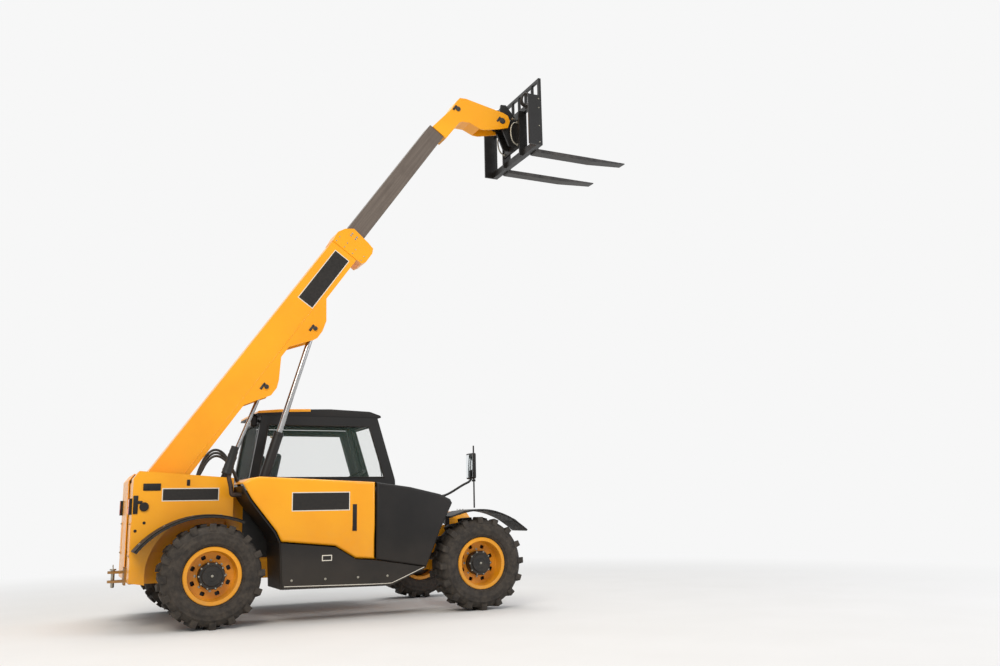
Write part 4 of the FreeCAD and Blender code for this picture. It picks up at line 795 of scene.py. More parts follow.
# blank vinyl: a dark patch with a pale border, on boom, bonnet, rear panel and sill
vinyls = {
    "boomVinyl": {"frame": boomFrame, "low": (2.112, -0.142), "high": (2.720, 0.030), "face": -0.125, "body": "boom_outer"},
    "bonnetVinyl": {"frame": chassisFrame, "low": (0.609, 0.900), "high": (1.104, 1.056), "face": -0.920,
                    "body": "engine_bonnet"},
    "panelVinyl": {"frame": chassisFrame, "low": (-0.373, 1.003), "high": (0.079, 1.109), "face": -0.560, "body": "chassis"},
    "sillVinyl": {"frame": chassisFrame, "low": (0.869, 0.490), "high": (0.954, 0.538), "face": -0.920, "body": "chassis"},
}
for name, vinyl in vinyls.items():
    (x0, z0), (x1, z1) = vinyl["low"], vinyl["high"]
    face = vinyl["face"]
    for finish, gap, depth in (("paleVinyl", 0.0, 0.0010), ("darkVinyl", 0.007, 0.0016)):
        shape = bmesh.new()
        addPanel(shape, [(x0 + gap, z0 + gap), (x1 - gap, z0 + gap), (x1 - gap, z1 - gap), (x0 + gap, z1 - gap)], face - depth,
                 face + 0.002,
                 0.0003, vinyl["frame"], 1)
        closeShape(name + ("Border" if gap == 0 else ""), shape, finish, vinyl["body"],
                   30)
print("boom dressed")

# bonnet: the pressed lid with rolled top edges, a shallow handle pocket with its latch, and the shut line round it
lid = [(0.205, 1.136), (0.274, 1.176), (0.346, 1.188), (1.332, 1.137), (1.332, 0.487), (1.161, 0.501), (0.986, 0.607),
       (0.534, 0.655), (0.492, 0.740), (0.382, 0.880), (0.286, 1.001)]
hoodEdge = {"roll": 0.026, "skin": 0.007, "inner": -0.402, "outer": -0.920}
hoodCrease = {"height": 0.800, "fall": 0.02, "reach": 0.12, "depth": 0.012}


def makeCover(name, outline, low, high, roll, skin, finish, body, node, opened, crease=None, setBack=None):
    # a pressed or moulded cover: the outline grown across, its outer edges rolled, its open sides taken off
    shape = bmesh.new()
    addPanel(shape, outline, low, high, roll, None, 4, lambda edge: all(point.co.y < low + 0.001 for point in edge.verts))
    if crease is not None:
        for level in (crease["height"], crease["height"] - crease["reach"]):
            bmesh.ops.bisect_plane(shape, geom=shape.verts[:] + shape.edges[:] + shape.faces[:], dist=0.0001,
                                   plane_co=(0, 0, level), plane_no=(crease["fall"], 0, 1))
        for point in shape.verts:
            under = (crease["height"] - crease["fall"] * point.co.x - point.co.z) / crease["reach"]
            near = (low + roll + 0.006 - point.co.y) / 0.006
            point.co.y += crease["depth"] * min(1.0, max(0.0, under)) * min(1.0, max(0.0, near))
    if setBack is not None:
        for line in (setBack["line"], setBack["line"] + 0.004):
            bmesh.ops.bisect_plane(shape, geom=shape.verts[:] + shape.edges[:] + shape.faces[:], dist=0.0001,
                                   plane_co=(0, line, 0), plane_no=(0, 1, 0))
        for point in shape.verts:
            for (x, z), (newX, newZ) in setBack["moves"]:
                if point.co.y > setBack["line"] + 0.003 and math.hypot(point.co.x - x, point.co.z - z) < 0.004:
                    point.co.x, point.co.z = newX, newZ
    bmesh.ops.recalc_face_normals(shape, faces=shape.faces)
    for face in shape.faces:
        face.tag = opened(face)
    bmesh.ops.delete(shape, geom=[face for face in shape.faces if face.tag], context="FACES")
    bmesh.ops.transform(shape, matrix=chassisFrame, verts=shape.verts)
    piece = closeShape(name, shape, finish, body, 32, clean=False)
    thick = piece.modifiers.new("skin", "SOLIDIFY")
    thick.thickness = skin
    thick.offset = -1
    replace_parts(piece, node)
    return piece


makeCover("pressedBonnet", lid, hoodEdge["outer"], hoodEdge["inner"], hoodEdge["roll"], hoodEdge["skin"], "amberEnamel",
          "engine_bonnet",
          "engine_bonnet",
          lambda face: face.calc_center_median().y > hoodEdge["inner"] - 0.001
          or (abs(face.normal.y) < 0.3 and (face.normal.z < 0.2 or face.calc_center_median().x > 1.331)), hoodCrease)
shape = bmesh.new()
addBlock(shape, (1.128, -0.9210, 0.728), (1.167, -0.916, 0.951), 0.002, chassisFrame)
addBlock(shape, (1.138, -0.9216, 0.780), (1.157, -0.918, 0.900), 0.0015, chassisFrame)
closeShape("bonnetHandle", shape, "mouldedPlastic", "engine_bonnet", 30)
shape = bmesh.new()
for spot in (0.440, 1.240):
    addTurned(shape, [(0.0075, -0.030), (0.0145, -0.030), (0.0145, 0.030), (0.0075, 0.030), (0.0075, -0.030)],
              (spot, -0.3953, 1.118), (1, 0, 0), 28, chassisFrame)
    addBlock(shape, (spot - 0.030, -0.414, 1.112), (spot + 0.030, -0.4065, 1.150), 0.002, chassisFrame)
closeShape("bonnetHinges", shape, "blackEnamel", "engine_bonnet", 30)

# pod nose: a moulded cover with a raked front, rolled edges and a louvred intake low on its face
nose = [(1.341, 1.136), (1.654, 1.092), (1.938, 1.027), (2.034, 0.982), (2.053, 0.947), (1.935, 0.713), (1.800, 0.400),
        (1.341, 0.480)]
noseStep = {"line": -0.790, "moves": [((2.053, 0.947), (2.048, 0.947)), ((1.935, 0.713), (1.895, 0.713)),
                                      ((1.800, 0.400), (1.785, 0.402))]}
makeCover("podNose", nose, -0.920, -0.402, 0.024, 0.007, "mouldedPlastic", "chassis", "pod_front_cover",
          lambda face: face.calc_center_median().x < 1.342 or face.calc_center_median().y > -0.403, None, noseStep)
shape = bmesh.new()
down = (Vector((1.895, 0, 0.713)) - Vector((2.048, 0, 0.947))).normalized()
out = Vector((-down.z, 0, down.x))
slope = chassisFrame @ Matrix.Translation((2.048, 0, 0.947)) @ Matrix((out, Vector((0, 1, 0)),
                                                                       out.cross(Vector((0, 1, 0))))).transposed().to_4x4()
upright = 1 if out.cross(Vector((0, 1, 0))).z < 0 else -1
for number in range(8):
    spot = (0.040 + number * 0.024) * upright
    addBlock(shape, (-0.004, -0.840, spot - 0.004), (0.004, -0.480, spot + 0.004), 0.0015, slope)
closeShape("noseLouvres", shape, "mouldedPlastic", "chassis", 30)

# sill: a fine pale line along the bottom of the pod, a painted highlight of the sill's edge, and the bolts above it
shape = bmesh.new()
addHose(shape, [(0.560, -0.9180, 0.300), (1.00, -0.9180, 0.290), (1.462, -0.9180, 0.279), (1.50, -0.9180, 0.290),
                (1.775, -0.9180, 0.402)], 0.0035, chassisFrame, resolution=1)
closeShape("sillHighlightLine", shape, "paleVinyl", "chassis", 60)
shape = bmesh.new()
for x in (0.62, 0.90, 1.18, 1.44):
    addDisc(shape, (x, -0.9188, 0.345), (0, -1, 0), 0.010, 0.005, 0.0015, 20, into=chassisFrame)
closeShape("sillBolts", shape, "zincPlate", "chassis", 30)

# exhaust: a bent pipe out of the liner, and a perforated shield that narrows towards its mouth
exhaust = {"pipe": 0.0185, "low": (0.101, 1.213), "high": (0.167, 1.440), "wide": 0.042, "narrow": 0.031}
shape = bmesh.new()
addHose(shape, [(0.227, -0.750, 1.044), (0.180, -0.750, 1.044), (0.150, -0.750, 1.044), (0.146, -0.750, 1.070),
                (0.140, -0.750, 1.120),
                (0.120, -0.750, 1.190), (0.1205, -0.750, 1.260), (0.158, -0.750, 1.425)], exhaust["pipe"], chassisFrame,
        resolution=4)
closeShape("exhaustPipe", shape, "scaledSteel", "chassis", 30)
shape = bmesh.new()
low = Vector((exhaust["low"][0], -0.750, exhaust["low"][1]))
high = Vector((exhaust["high"][0], -0.750, exhaust["high"][1]))
tall = (high - low).length
wide, narrow = exhaust["wide"], exhaust["narrow"]
section = [(wide, 0.0), (wide + 0.001, 0.006), (wide, 0.012), (narrow + 0.001, tall - 0.012), (narrow + 0.002, tall - 0.006),
           (narrow, tall),
           (narrow - 0.003, tall), (wide - 0.003, 0.0)]
addTurned(shape, section + section[:1], low, high - low, 40, chassisFrame)
leaning = chassisFrame @ Matrix.Translation(low) @ facing(high - low)
for row in range(6):
    for number in range(9):
        turn = 2 * math.pi * (number + 0.5 * (row % 2)) / 9
        rise = 0.035 + row * 0.031
        radius = wide + (narrow - wide) * rise / tall
        addBlock(shape, (radius - 0.0015, -0.004, rise - 0.010), (radius + 0.0025, 0.004, rise + 0.010), 0.0015,
                 leaning @ Matrix.Rotation(turn, 4, "Z"), 1)
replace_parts(closeShape("exhaustShield", shape, "blackEnamel", "chassis", 30), "exhaust_stack")

# mirrors: a tube arm off the nose of the pod and a moulded head with its glass facing back
shape = bmesh.new()
addHose(shape, [(1.990, -0.760, 1.012), (2.030, -0.760, 1.010), (2.110, -0.760, 1.045), (2.225, -0.760, 1.112),
                (2.300, -0.760, 1.142), (2.306, -0.760, 1.190),
                (2.306, -0.760, 1.372)], 0.0105, chassisFrame, resolution=3)
addBlock(shape, (1.988, -0.782, 1.004), (2.040, -0.738, 1.016), 0.004, chassisFrame)
addBlock(shape, (2.291, -0.845, 1.162), (2.325, -0.675, 1.400), 0.015, chassisFrame, 4)
addHose(shape, [(2.334, -0.760, 0.900), (2.334, -0.760, 1.100), (2.334, -0.760, 1.300), (2.334, -0.760, 1.470)], 0.0075,
        chassisFrame, resolution=2)
for z in (1.140, 1.330):
    addBlock(shape, (2.318, -0.776, z), (2.345, -0.744, z + 0.020), 0.003, chassisFrame)
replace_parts(closeShape("mirrorArm", shape, "mouldedPlastic", "chassis", 30), "mirrors")
shape = bmesh.new()
addBlock(shape, (2.2895, -0.832, 1.176), (2.2925, -0.688, 1.386), 0.0012, chassisFrame)
closeShape("mirrorGlass", shape, "silveredGlass", "chassis", 30)
print("pod dressed")

# roof: a moulded cap with rolled edges, amber at its rear end
canopy = [(0.495, 1.7953), (0.507, 1.833), (0.706, 1.852), (1.187, 1.868), (1.589, 1.854), (1.700, 1.817), (1.700, 1.7953)]
shape = bmesh.new()
addPanel(shape, canopy, 0.045, 0.890, 0.014, chassisFrame, 4, lambda edge: all(point.co.z > 1.80 for point in edge.verts))
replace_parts(closeShape("mouldedRoof", shape, "mouldedPlastic", "chassis", 30), "cab_roof")
shape = bmesh.new()
addPanel(shape, [(0.4975, 1.812), (0.5045, 1.8345), (0.706, 1.854), (0.985, 1.8632), (1.000, 1.8636), (1.000, 1.838),
                 (0.700, 1.826)], 0.0435, 0.8915, 0.010,
         chassisFrame, 4, lambda edge: all(point.co.z > 1.83 for point in edge.verts))
closeShape("roofRearCap", shape, "amberEnamel", "chassis", 30)

# work lamp on a bracket at the rear corner of the roof
shape = bmesh.new()
addBlock(shape, (0.455, 0.085, 1.800), (0.560, 0.185, 1.8075), 0.002, chassisFrame)
addBlock(shape, (0.448, 0.092, 1.690), (0.506, 0.178, 1.795), 0.012, chassisFrame, 3)
addBlock(shape, (0.500, 0.110, 1.730), (0.528, 0.160, 1.760), 0.004, chassisFrame)
closeShape("roofLampBody", shape, "mouldedPlastic", "chassis", 30)
shape = bmesh.new()
addBlock(shape, (0.4455, 0.100, 1.700), (0.4495, 0.170, 1.787), 0.0015, chassisFrame)
closeShape("roofLampLens", shape, "clearLens", "chassis", 30)

# cab trim: window seals, wiper, grab rails, door handle
sideGlass = [(0.520, 0.049, 1.215), (0.605, 0.049, 1.705), (1.583, 0.049, 1.705), (1.738, 0.049, 1.215)]
doorGlass = [(0.665, 0.886, 0.860), (0.665, 0.886, 1.200), (0.710, 0.886, 1.675), (1.528, 0.886, 1.675), (1.673, 0.886, 1.190),
             (1.575, 0.886, 0.860)]
shape = bmesh.new()
addSeal(shape, sideGlass, 0.007, chassisFrame)
closeShape("sideSeal", shape, "extrudedRubber", "chassis", 60)
shape = bmesh.new()
addSeal(shape, doorGlass, 0.007, chassisFrame)
closeShape("doorSeal", shape, "extrudedRubber", "cab_door", 60)
shape = bmesh.new()
windscreen = [(1.8365, 0.110, 1.216), (1.6775, 0.110, 1.724), (1.6775, 0.825, 1.724), (1.8365, 0.825, 1.216)]
rearScreen = [(0.447, 0.110, 1.216), (0.533, 0.110, 1.724), (0.533, 0.825, 1.724), (0.447, 0.825, 1.216)]
for corners in (windscreen, rearScreen):
    addSeal(shape, corners, 0.006, chassisFrame)
closeShape("screenSeals", shape, "extrudedRubber", "chassis", 60)
shape = bmesh.new()
addDisc(shape, (1.856, 0.470, 1.196), (1, 0, 0.3), 0.018, 0.016, 0.003, 28, into=chassisFrame)
addHose(shape, [(1.862, 0.470, 1.198), (1.845, 0.455, 1.260), (1.790, 0.400, 1.440), (1.760, 0.372, 1.530)], 0.005, chassisFrame)
addHose(shape, [(1.795, 0.352, 1.395), (1.765, 0.370, 1.520), (1.716, 0.388, 1.665)], 0.006, chassisFrame, resolution=1)
closeShape("screenWiper", shape, "blackEnamel", "chassis", 30)
shape = bmesh.new()
for x in (0.560, 1.700):
    addHose(shape, [(x, 0.884, 0.900), (x, 0.906, 0.904), (x, 0.912, 0.930), (x, 0.912, 1.150), (x, 0.906, 1.176),
                    (x, 0.884, 1.180)], 0.009, chassisFrame)
closeShape("grabRails", shape, "blackEnamel", "chassis", 30)
shape = bmesh.new()
addBlock(shape, (1.520, 0.884, 0.770), (1.600, 0.894, 0.815), 0.004, chassisFrame)
addHose(shape, [(1.530, 0.890, 0.792), (1.534, 0.904, 0.792), (1.560, 0.906, 0.792), (1.592, 0.904, 0.792)], 0.006, chassisFrame)
closeShape("doorHandle", shape, "blackEnamel", "cab_door", 30)

# steering wheel: a padded ring on three spokes over a column shroud
steering = {"ring": 0.1845, "thick": 0.0120, "tilt": 32.0, "spokes": 3}
column = chassisFrame @ Matrix.Translation((1.500, 0.4675, 1.200)) @ Matrix.Rotation(-math.radians(steering["tilt"]), 4, "Y")
shape = bmesh.new()
ringLoop = [(steering["ring"] + steering["thick"] * math.cos(a),
             steering["thick"] * math.sin(a)) for a in [2 * math.pi * i / 14 for i in range(14)]]
addTurned(shape, ringLoop + ringLoop[:1], (0, 0, 0), (0, 0, 1), 56, column)
for number in range(steering["spokes"]):
    turn = 2 * math.pi * number / steering["spokes"] + math.pi
    addHose(shape, [(0.020 * math.cos(turn), 0.020 * math.sin(turn), -0.010),
                    (0.10 * math.cos(turn), 0.10 * math.sin(turn), -0.008),
                    (0.178 * math.cos(turn), 0.178 * math.sin(turn), 0.0)], 0.008, column)
addTurned(shape, [(0.0, -0.139), (0.023, -0.139), (0.023, -0.034), (0.035, -0.020), (0.035, 0.002), (0.030, 0.009), (0.0, 0.010)],
          (0, 0, 0), (0, 0, 1), 36, column)
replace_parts(closeShape("steeringWheel", shape, "softTouchTrim", "chassis", 40), "steering_wheel")

# controls: instrument hood, joystick on its console, drive lever and pedals
shape = bmesh.new()
addBlock(shape, (1.600, 0.360, 1.040), (1.690, 0.575, 1.105), 0.018, chassisFrame, 4)
addBlock(shape, (0.860, 0.190, 0.870), (1.160, 0.262, 1.010), 0.016, chassisFrame, 4)
addTurned(shape, [(0.0, 0.0), (0.026, 0.0), (0.020, 0.018), (0.008, 0.030), (0.007, 0.110), (0.017, 0.122), (0.020, 0.165),
                  (0.015, 0.186), (0.0, 0.190)],
          (1.100, 0.226, 1.008), (0.08, 0, 1), 28, chassisFrame)
addHose(shape, [(1.545, 0.375, 1.085), (1.500, 0.320, 1.130), (1.485, 0.300, 1.145)], 0.005, chassisFrame)
addTurned(shape, [(0.0, -0.010), (0.009, -0.006), (0.011, 0.004), (0.006, 0.012), (0.0, 0.013)], (1.482, 0.297, 1.148),
          (-0.4, -0.6, 0.5), 20, chassisFrame)
for y in (0.360, 0.530):
    addBlock(shape, (1.500, y, 0.700), (1.512, y + 0.060, 0.770), 0.004, chassisFrame)
closeShape("cabControls", shape, "softTouchTrim", "chassis", 35)


# seat: cushion and back of woven cloth over foam, swollen by simulation between sewn edges
def makePad(name, size, place, cap, channels):
    shape = bmesh.new()
    addBlock(shape, [-value / 2 for value in size], [value / 2 for value in size], min(size) * 0.30, None, 4)
    mesh = bpy.data.meshes.new(name)
    shape.to_mesh(mesh)
    shape.free()
    pad = bpy.data.objects.new(name, mesh)
    bpy.context.scene.collection.objects.link(pad)
    grid = pad.modifiers.new("grid", "REMESH")
    grid.mode = "VOXEL"
    grid.voxel_size = 0.006
    bpy.context.view_layer.update()
    pad.data = bpy.data.meshes.new_from_object(pad.evaluated_get(bpy.context.evaluated_depsgraph_get()))
    pad.modifiers.clear()
    rest = [point.co.copy() for point in pad.data.vertices]
    cloth = pad.modifiers.new("swell", "CLOTH")
    cloth.settings.use_pressure = True
    cloth.settings.uniform_pressure_force = 4
    cloth.settings.effector_weights.gravity = 0
    for number in range(1, 21):
        bpy.context.scene.frame_set(number)
    swollen = bpy.data.meshes.new_from_object(pad.evaluated_get(bpy.context.evaluated_depsgraph_get()))
    pad.modifiers.clear()
    pad.data = swollen
    for point, start in zip(pad.data.vertices, rest):
        step = point.co - start
        if step.length > cap:
            point.co = start + step.normalized() * cap
    bpy.context.scene.frame_set(1)
    half = [value / 2 for value in size]
    for point in pad.data.vertices:
        crown = max(0.0, 1 - (point.co.x / half[0]) ** 2) * max(0.0, 1 - (point.co.y / half[1]) ** 2)
        if point.co.z > 0:
            point.co.z += 0.010 * crown
            for line in channels:
                point.co.z -= 0.007 * math.exp(-((point.co.y - line) / 0.006) ** 2) * min(1.0, crown * 3)
    pad.data.transform(place)
    for face in pad.data.polygons:
        face.use_smooth = True
    pad.data.materials.clear()
    pad.data.materials.append(finishes["wovenCloth"])
    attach(pad, "chassis")
    return pad


cushion = makePad("seatCushion", (0.445, 0.440, 0.074), chassisFrame @ Matrix.Translation((0.925, 0.4675, 0.905)), 0.010,
                  (-0.135, 0.135))
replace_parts(cushion, "seat")
backPlace = chassisFrame @ Matrix.Translation((0.704, 0.4675, 1.225)) @ Matrix.Rotation(math.radians(-79), 4,
                                                                                        "Y") @ Matrix.Rotation(math.pi, 4, "Z")
makePad("seatBack", (0.480, 0.420, 0.064), backPlace, 0.010, (-0.130, 0.130))
shape = bmesh.new()
addBlock(shape, (0.690, 0.240, 0.8575), (1.155, 0.695, 0.866), 0.004, chassisFrame)
addBlock(shape, (0.634, 0.300, 0.900), (0.664, 0.635, 1.430), 0.010, chassisFrame @ Matrix.Translation((0.64, 0,
                                                                                                        0.9)) @ Matrix.Rotation(math.radians(-4), 4, "Y")
         @ Matrix.Translation((-0.64, 0, -0.9)), 3)
closeShape("seatShell", shape, "softTouchTrim", "chassis", 30)
print("cab dressed")

# lamps: bezels and lenses on the housings at both ends
shape = bmesh.new()
for side in (-1, 1):
    addBlock(shape, (2.6445, side * 0.270 - 0.058, 0.527), (2.6485, side * 0.270 + 0.058, 0.603), 0.0015, chassisFrame)
closeShape("frontLenses", shape, "clearLens", "chassis", 30)
for finish, low, high in (("redLens", 0.907, 0.955), ("amberLens", 0.960, 1.023)):
    shape = bmesh.new()
    for side in (-1, 1):
        addBlock(shape, (-0.6215, side * 0.505 - 0.038, low), (-0.6175, side * 0.505 + 0.038, high), 0.0015, chassisFrame)
    closeShape("rear" + finish[0].upper() + finish[1:], shape, finish, "chassis", 30)
shape = bmesh.new()
addBlock(shape, (-0.520, -0.5665, 1.090), (-0.384, -0.5595, 1.148), 0.0034, chassisFrame, 3)
addDisc(shape, (-0.496, -0.568, 1.119), (0, -1, 0), 0.024, 0.008, 0.003, 28, into=chassisFrame)
addBlock(shape, (-0.590, -0.5665, 0.905), (-0.553, -0.5595, 1.052), 0.003, chassisFrame)
addBlock(shape, (-0.560, -0.5690, 0.985), (-0.520, -0.5595, 1.010), 0.004, chassisFrame)
addTurned(shape, [(0.0, -0.004), (0.030, -0.004), (0.036, 0.000), (0.036, 0.014), (0.031, 0.018), (0.0, 0.016)],
          (-0.506, -0.560, 0.962), (0, -1, 0), 32, chassisFrame)
addBlock(shape, (-0.183, -0.5665, 1.128), (-0.157, -0.5595, 1.178), 0.003, chassisFrame)
for x, z in ((-0.565, 0.772), (-0.500, 0.834)):
    addDisc(shape, (x, -0.5615, z), (0, -1, 0), 0.012, 0.006, 0.002, 20, into=chassisFrame)
closeShape("panelCovers", shape, "mouldedPlastic", "chassis", 30)

# rear fenders: a rubber flare that widens the strip and turns down at its outer edge
flare = {"centre": (-0.020, 0.170), "radius": 0.7185, "thick": 0.010, "from": 142, "to": 67, "inner": 0.7285, "outer": 0.806,
         "drop": 0.026}


def arcStrip(outer, inner):
    turns = [math.radians(angle) for angle in range(flare["from"], flare["to"] - 1, -3)]
    x, z = flare["centre"]
    return ([(x + outer * math.cos(turn), z + outer * math.sin(turn)) for turn in turns]
            + [(x + inner * math.cos(turn), z + inner * math.sin(turn)) for turn in reversed(turns)])


shape = bmesh.new()
for side in (-1, 1):
    for near, far, depth in ((flare["inner"], flare["outer"], flare["thick"]),
                             (flare["outer"] - 0.009, flare["outer"], flare["drop"])):
        low, high = sorted((near * side, far * side))
        addPanel(shape, arcStrip(flare["radius"], flare["radius"] - depth), low, high, 0.0025, chassisFrame, 2)
closeShape("fenderFlares", shape, "extrudedRubber", "chassis", 40)
shape = bmesh.new()
for side in (-1, 1):
    for angle in (136, 118, 100, 82):
        turn = math.radians(angle)
        way = Vector((math.cos(turn), 0, math.sin(turn)))
        spot = Vector((flare["centre"][0], side * 0.700, flare["centre"][1])) + way * 0.722
        addDisc(shape, spot, way, 0.010, 0.006, 0.002, 20, into=chassisFrame)
closeShape("fenderRivets", shape, "zincPlate", "chassis", 30)

# fenders: a rolled lip along the edges of the blades and the bolts that hold them
blade = [(2.035, 0.830), (2.171, 0.876), (2.330, 0.888), (2.440, 0.878), (2.552, 0.845), (2.674, 0.790), (2.797, 0.695)]
shape = bmesh.new()
for side in (-1, 1):
    for edge in (0.618, 0.910):
        addHose(shape, [(x, side * edge, z - 0.006) for x, z in blade], 0.0085, chassisFrame, resolution=2)
closeShape("fenderLips", shape, "mouldedPlastic", "chassis", 60)
shape = bmesh.new()
for side in (-1, 1):
    for x in (2.205, 2.235):
        for y in (0.66, 0.72):
            addBolt(shape, (x, side * y, 0.887), (0, 0, 1), 0.007, chassisFrame)
closeShape("fenderBolts", shape, "zincPlate", "chassis", 30)
shape = bmesh.new()
for side in (-1, 1):
    inner, outer = sorted((0.3725 * side, 0.640 * side))
    addBlock(shape, (2.196, inner, 0.838), (2.244, outer, 0.873), 0.004, chassisFrame)
    inner, outer = sorted((0.3725 * side, 0.386 * side))
    addPanel(shape, [(2.205, 0.600), (2.470, 0.600), (2.470, 0.790), (2.420, 0.862), (2.205, 0.862)], inner, outer, 0.004,
             chassisFrame)
closeShape("fenderBrackets", shape, "amberEnamel", "chassis", 30)

# left side: a step with a raised tread under the door, a filler cap and the tank's straps
shape = bmesh.new()
addPanel(shape, [(0.900, 0.330), (1.380, 0.330), (1.380, 0.342), (0.900, 0.342)], 0.900, 0.918, 0.003, chassisFrame)
for x in (0.905, 1.363):
    addBlock(shape, (x, 0.898, 0.330), (x + 0.012, 0.918, 0.420), 0.003, chassisFrame)
for number in range(11):
    addBlock(shape, (0.930 + number * 0.040, 0.901, 0.3415), (0.948 + number * 0.040, 0.916, 0.3455), 0.001, chassisFrame, 1)
for x in (0.660, 1.500):
    addBlock(shape, (x, 0.8985, 0.305), (x + 0.040, 0.9035, 0.600), 0.001, chassisFrame, 1)
closeShape("accessStep", shape, "blackEnamel", "chassis", 30)
shape = bmesh.new()
addTurned(shape, [(0.0, 0.0), (0.040, 0.0), (0.040, 0.006), (0.036, 0.010), (0.034, 0.018), (0.020, 0.020), (0.0, 0.020)],
          (0.800, 0.898, 0.480), (0, 1, 0), 36, chassisFrame)
for number in range(12):
    turn = Matrix.Translation(Vector((0.800, 0.900, 0.480))) @ Matrix.Rotation(2 * math.pi * number / 12, 4, "Y")
    addBlock(shape, (0.033, 0.004, -0.003), (0.038, 0.016, 0.003), 0.001, chassisFrame @ turn, 1)
closeShape("fillerCap", shape, "mouldedPlastic", "chassis", 30)

# rear end: raised access covers with rounded corners on both panels, and their bolts
shape = bmesh.new()
for side in (-1, 1):
    low, high = sorted((0.400 * side, 0.535 * side))
    addBlock(shape, (-0.5995, low, 0.560), (-0.5945, high, 0.840), 0.002, chassisFrame, 2)
closeShape("rearCovers", shape, "amberEnamel", "chassis", 30)
shape = bmesh.new()
for side in (-1, 1):
    for y in (0.412, 0.523):
        for z in (0.574, 0.826):
            addBolt(shape, (-0.599, side * y, z), (-1, 0, 0), 0.007, chassisFrame)
closeShape("rearBolts", shape, "zincPlate", "chassis", 30)

# tow hitch: its pin with a head and a spring clip
shape = bmesh.new()
addTurned(shape, [(0.0, 0.300), (0.012, 0.302), (0.0150, 0.310), (0.0150, 0.444), (0.026, 0.445), (0.026, 0.456), (0.0, 0.458)],
          (-0.678, 0, 0), (0, 0, 1), 28, chassisFrame)
addHose(shape, [(-0.678, 0, 0.456), (-0.678, 0, 0.480), (-0.678, 0.024, 0.492), (-0.678, 0.046, 0.470)], 0.004, chassisFrame)
closeShape("hitchPin", shape, "zincPlate", "chassis", 30)

# carriage: fork hangers with spring pins, bar bolts and hydraulic fittings
shape = bmesh.new()
for y in (-0.330, 0.330):
    addBlock(shape, (0.190, y - 0.060, 0.098), (0.246, y + 0.060, 0.146), 0.005, carriageFrame)
    addBlock(shape, (0.236, y - 0.055, -0.425), (0.248, y + 0.055, -0.330), 0.003, carriageFrame)
closeShape("forkHangers", shape, "forgedSteel", "carriage", 30)
shape = bmesh.new()
for y in (-0.330, 0.330):
    addDisc(shape, (0.215, y, 0.160), (0, 0, 1), 0.009, 0.030, 0.002, 20, into=carriageFrame)
    addDisc(shape, (0.215, y, 0.178), (0, 0, 1), 0.014, 0.008, 0.002, 20, into=carriageFrame)
for y in (-0.5515, 0.5515):
    for z in (-0.380, -0.200, 0.0, 0.100):
        addBolt(shape, (0.205, y - (0.0015 if y > 0 else -0.0015), z), (0, 1 if y > 0 else -1, 0), 0.007, carriageFrame)
for y in (-0.030, 0.030):
    addDisc(shape, (0.128, y - 0.10, 0.030), (-1, 0, 0), 0.010, 0.030, 0.002, 20, into=carriageFrame)
    addDisc(shape, (0.108, y - 0.10, 0.030), (-1, 0, 0), 0.013, 0.014, 0.001, 6, into=carriageFrame)
closeShape("carriageFittings", shape, "zincPlate", "carriage", 30)

# frame: bolt rows on the side plates and the outriggers
shape = bmesh.new()
for side in (-1, 1):
    for x in (-0.54, -0.46, 0.30, 0.40, 1.05, 1.15, 1.90, 2.00):
        addBolt(shape, (x, side * 0.372, 0.560), (0, side, 0), 0.010, chassisFrame)
closeShape("frameBolts", shape, "zincPlate", "chassis", 30)
print("details added")


# floor and lights
# matt screed, faintly clouded, that turns to plain light far from the machine so that no horizon shows
material, tree, place = newMaterial("mattScreed")
cloud = addNode(tree, "ShaderNodeTexNoise", {"Scale": 1.25, "Detail": 4.0}, {"Vector": place})
tone = addNode(tree, "ShaderNodeMix", {"data_type": "RGBA", 6: fromHex("#DCDAD6"), 7: fromHex("#E4E2DF")},
               {0: cloud.outputs["Fac"]})
screed = addNode(tree, "ShaderNodeBsdfPrincipled", {"Roughness": 0.85, "Specular IOR Level": 0.2},
                 {"Base Color": tone.outputs[2]})
glow = addNode(tree, "ShaderNodeEmission", {"Color": fromHex("#F7F7F7"), "Strength": 1.0})
span = addNode(tree, "ShaderNodeVectorMath", {"operation": "LENGTH"}, {0: place})
far = addNode(tree, "ShaderNodeMapRange", {"interpolation_type": "SMOOTHSTEP", "From Min": 2.6, "From Max": 9.0},
              {"Value": span.outputs["Value"]})
blend = addNode(tree, "ShaderNodeMixShader", links={0: far.outputs[0], 1: screed.outputs[0], 2: glow.outputs[0]})
addNode(tree, "ShaderNodeOutputMaterial", links={"Surface": blend.outputs[0]})
shape = bmesh.new()
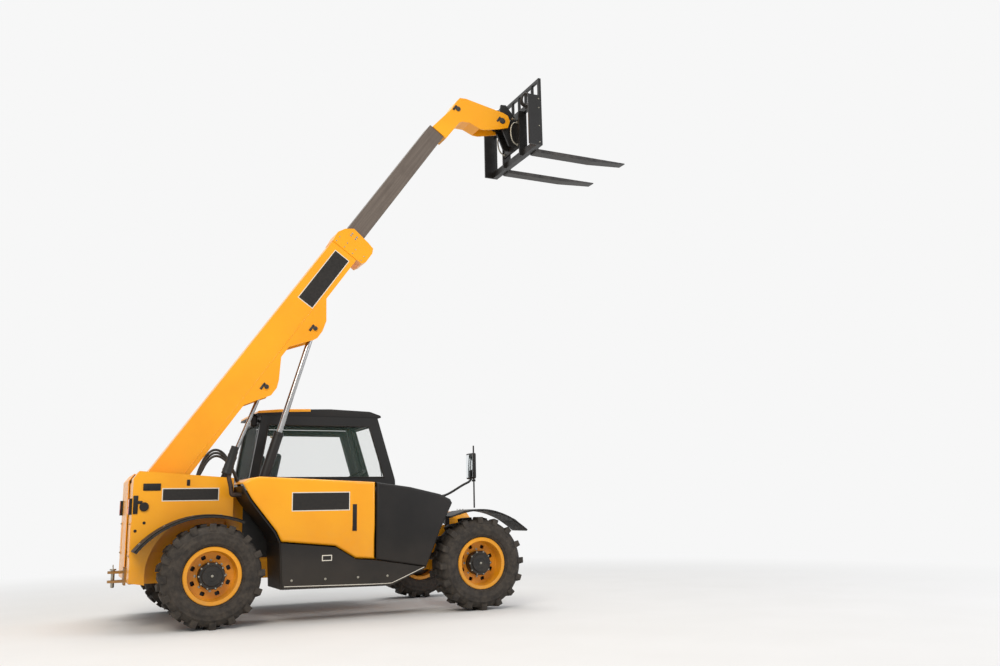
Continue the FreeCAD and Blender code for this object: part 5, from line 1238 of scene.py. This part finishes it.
bmesh.ops.create_grid(shape, x_segments=8, y_segments=8, size=90)
mesh = bpy.data.meshes.new("paleFloor")
shape.to_mesh(mesh)
shape.free()
mesh.materials.append(material)
floor = bpy.data.objects.new("paleFloor", mesh)
bpy.context.scene.collection.objects.link(floor)

world = bpy.data.worlds.new("softSky")
bpy.context.scene.world = world
world.use_nodes = True
tree = world.node_tree
tree.nodes.clear()
path = addNode(tree, "ShaderNodeLightPath")
seen = addNode(tree, "ShaderNodeMath", {"operation": "MAXIMUM"}, {0: path.outputs["Is Camera Ray"],
                                                                  1: path.outputs["Is Glossy Ray"]})
seen = addNode(tree, "ShaderNodeMath", {"operation": "MAXIMUM"}, {0: seen.outputs[0], 1: path.outputs["Is Transmission Ray"]})
soft = addNode(tree, "ShaderNodeBackground", {"Color": fromHex("#E9EDF2"), "Strength": 0.62})
white = addNode(tree, "ShaderNodeBackground", {"Color": fromHex("#F7F7F7"), "Strength": 1.0})
mixed = addNode(tree, "ShaderNodeMixShader", links={0: seen.outputs[0], 1: soft.outputs[0], 2: white.outputs[0]})
addNode(tree, "ShaderNodeOutputWorld", links={"Surface": mixed.outputs[0]})

lights = {
    "broadKey": {"place": (-6.0, -9.0, 9.0), "size": 7.0, "power": 820, "tint": "#FFF6EA"},
    "sideFill": {"place": (8.0, -6.0, 5.0), "size": 6.0, "power": 290, "tint": "#EEF3FF"},
    "topSoft": {"place": (0.0, 2.0, 11.0), "size": 8.0, "power": 520, "tint": "#FFFFFF"},
}
for name, facts in lights.items():
    lamp = bpy.data.lights.new(name, "AREA")
    lamp.shape = "DISK"
    lamp.size = facts["size"]
    lamp.energy = facts["power"]
    lamp.color = fromHex(facts["tint"])[:3]
    holder = bpy.data.objects.new(name, lamp)
    holder.location = facts["place"]
    holder.rotation_euler = (Vector((0, 0, 1.6)) - Vector(facts["place"])).to_track_quat("-Z", "Y").to_euler()
    bpy.context.scene.collection.objects.link(holder)
bpy.context.scene.view_settings.view_transform = "Standard"
print("stage set")
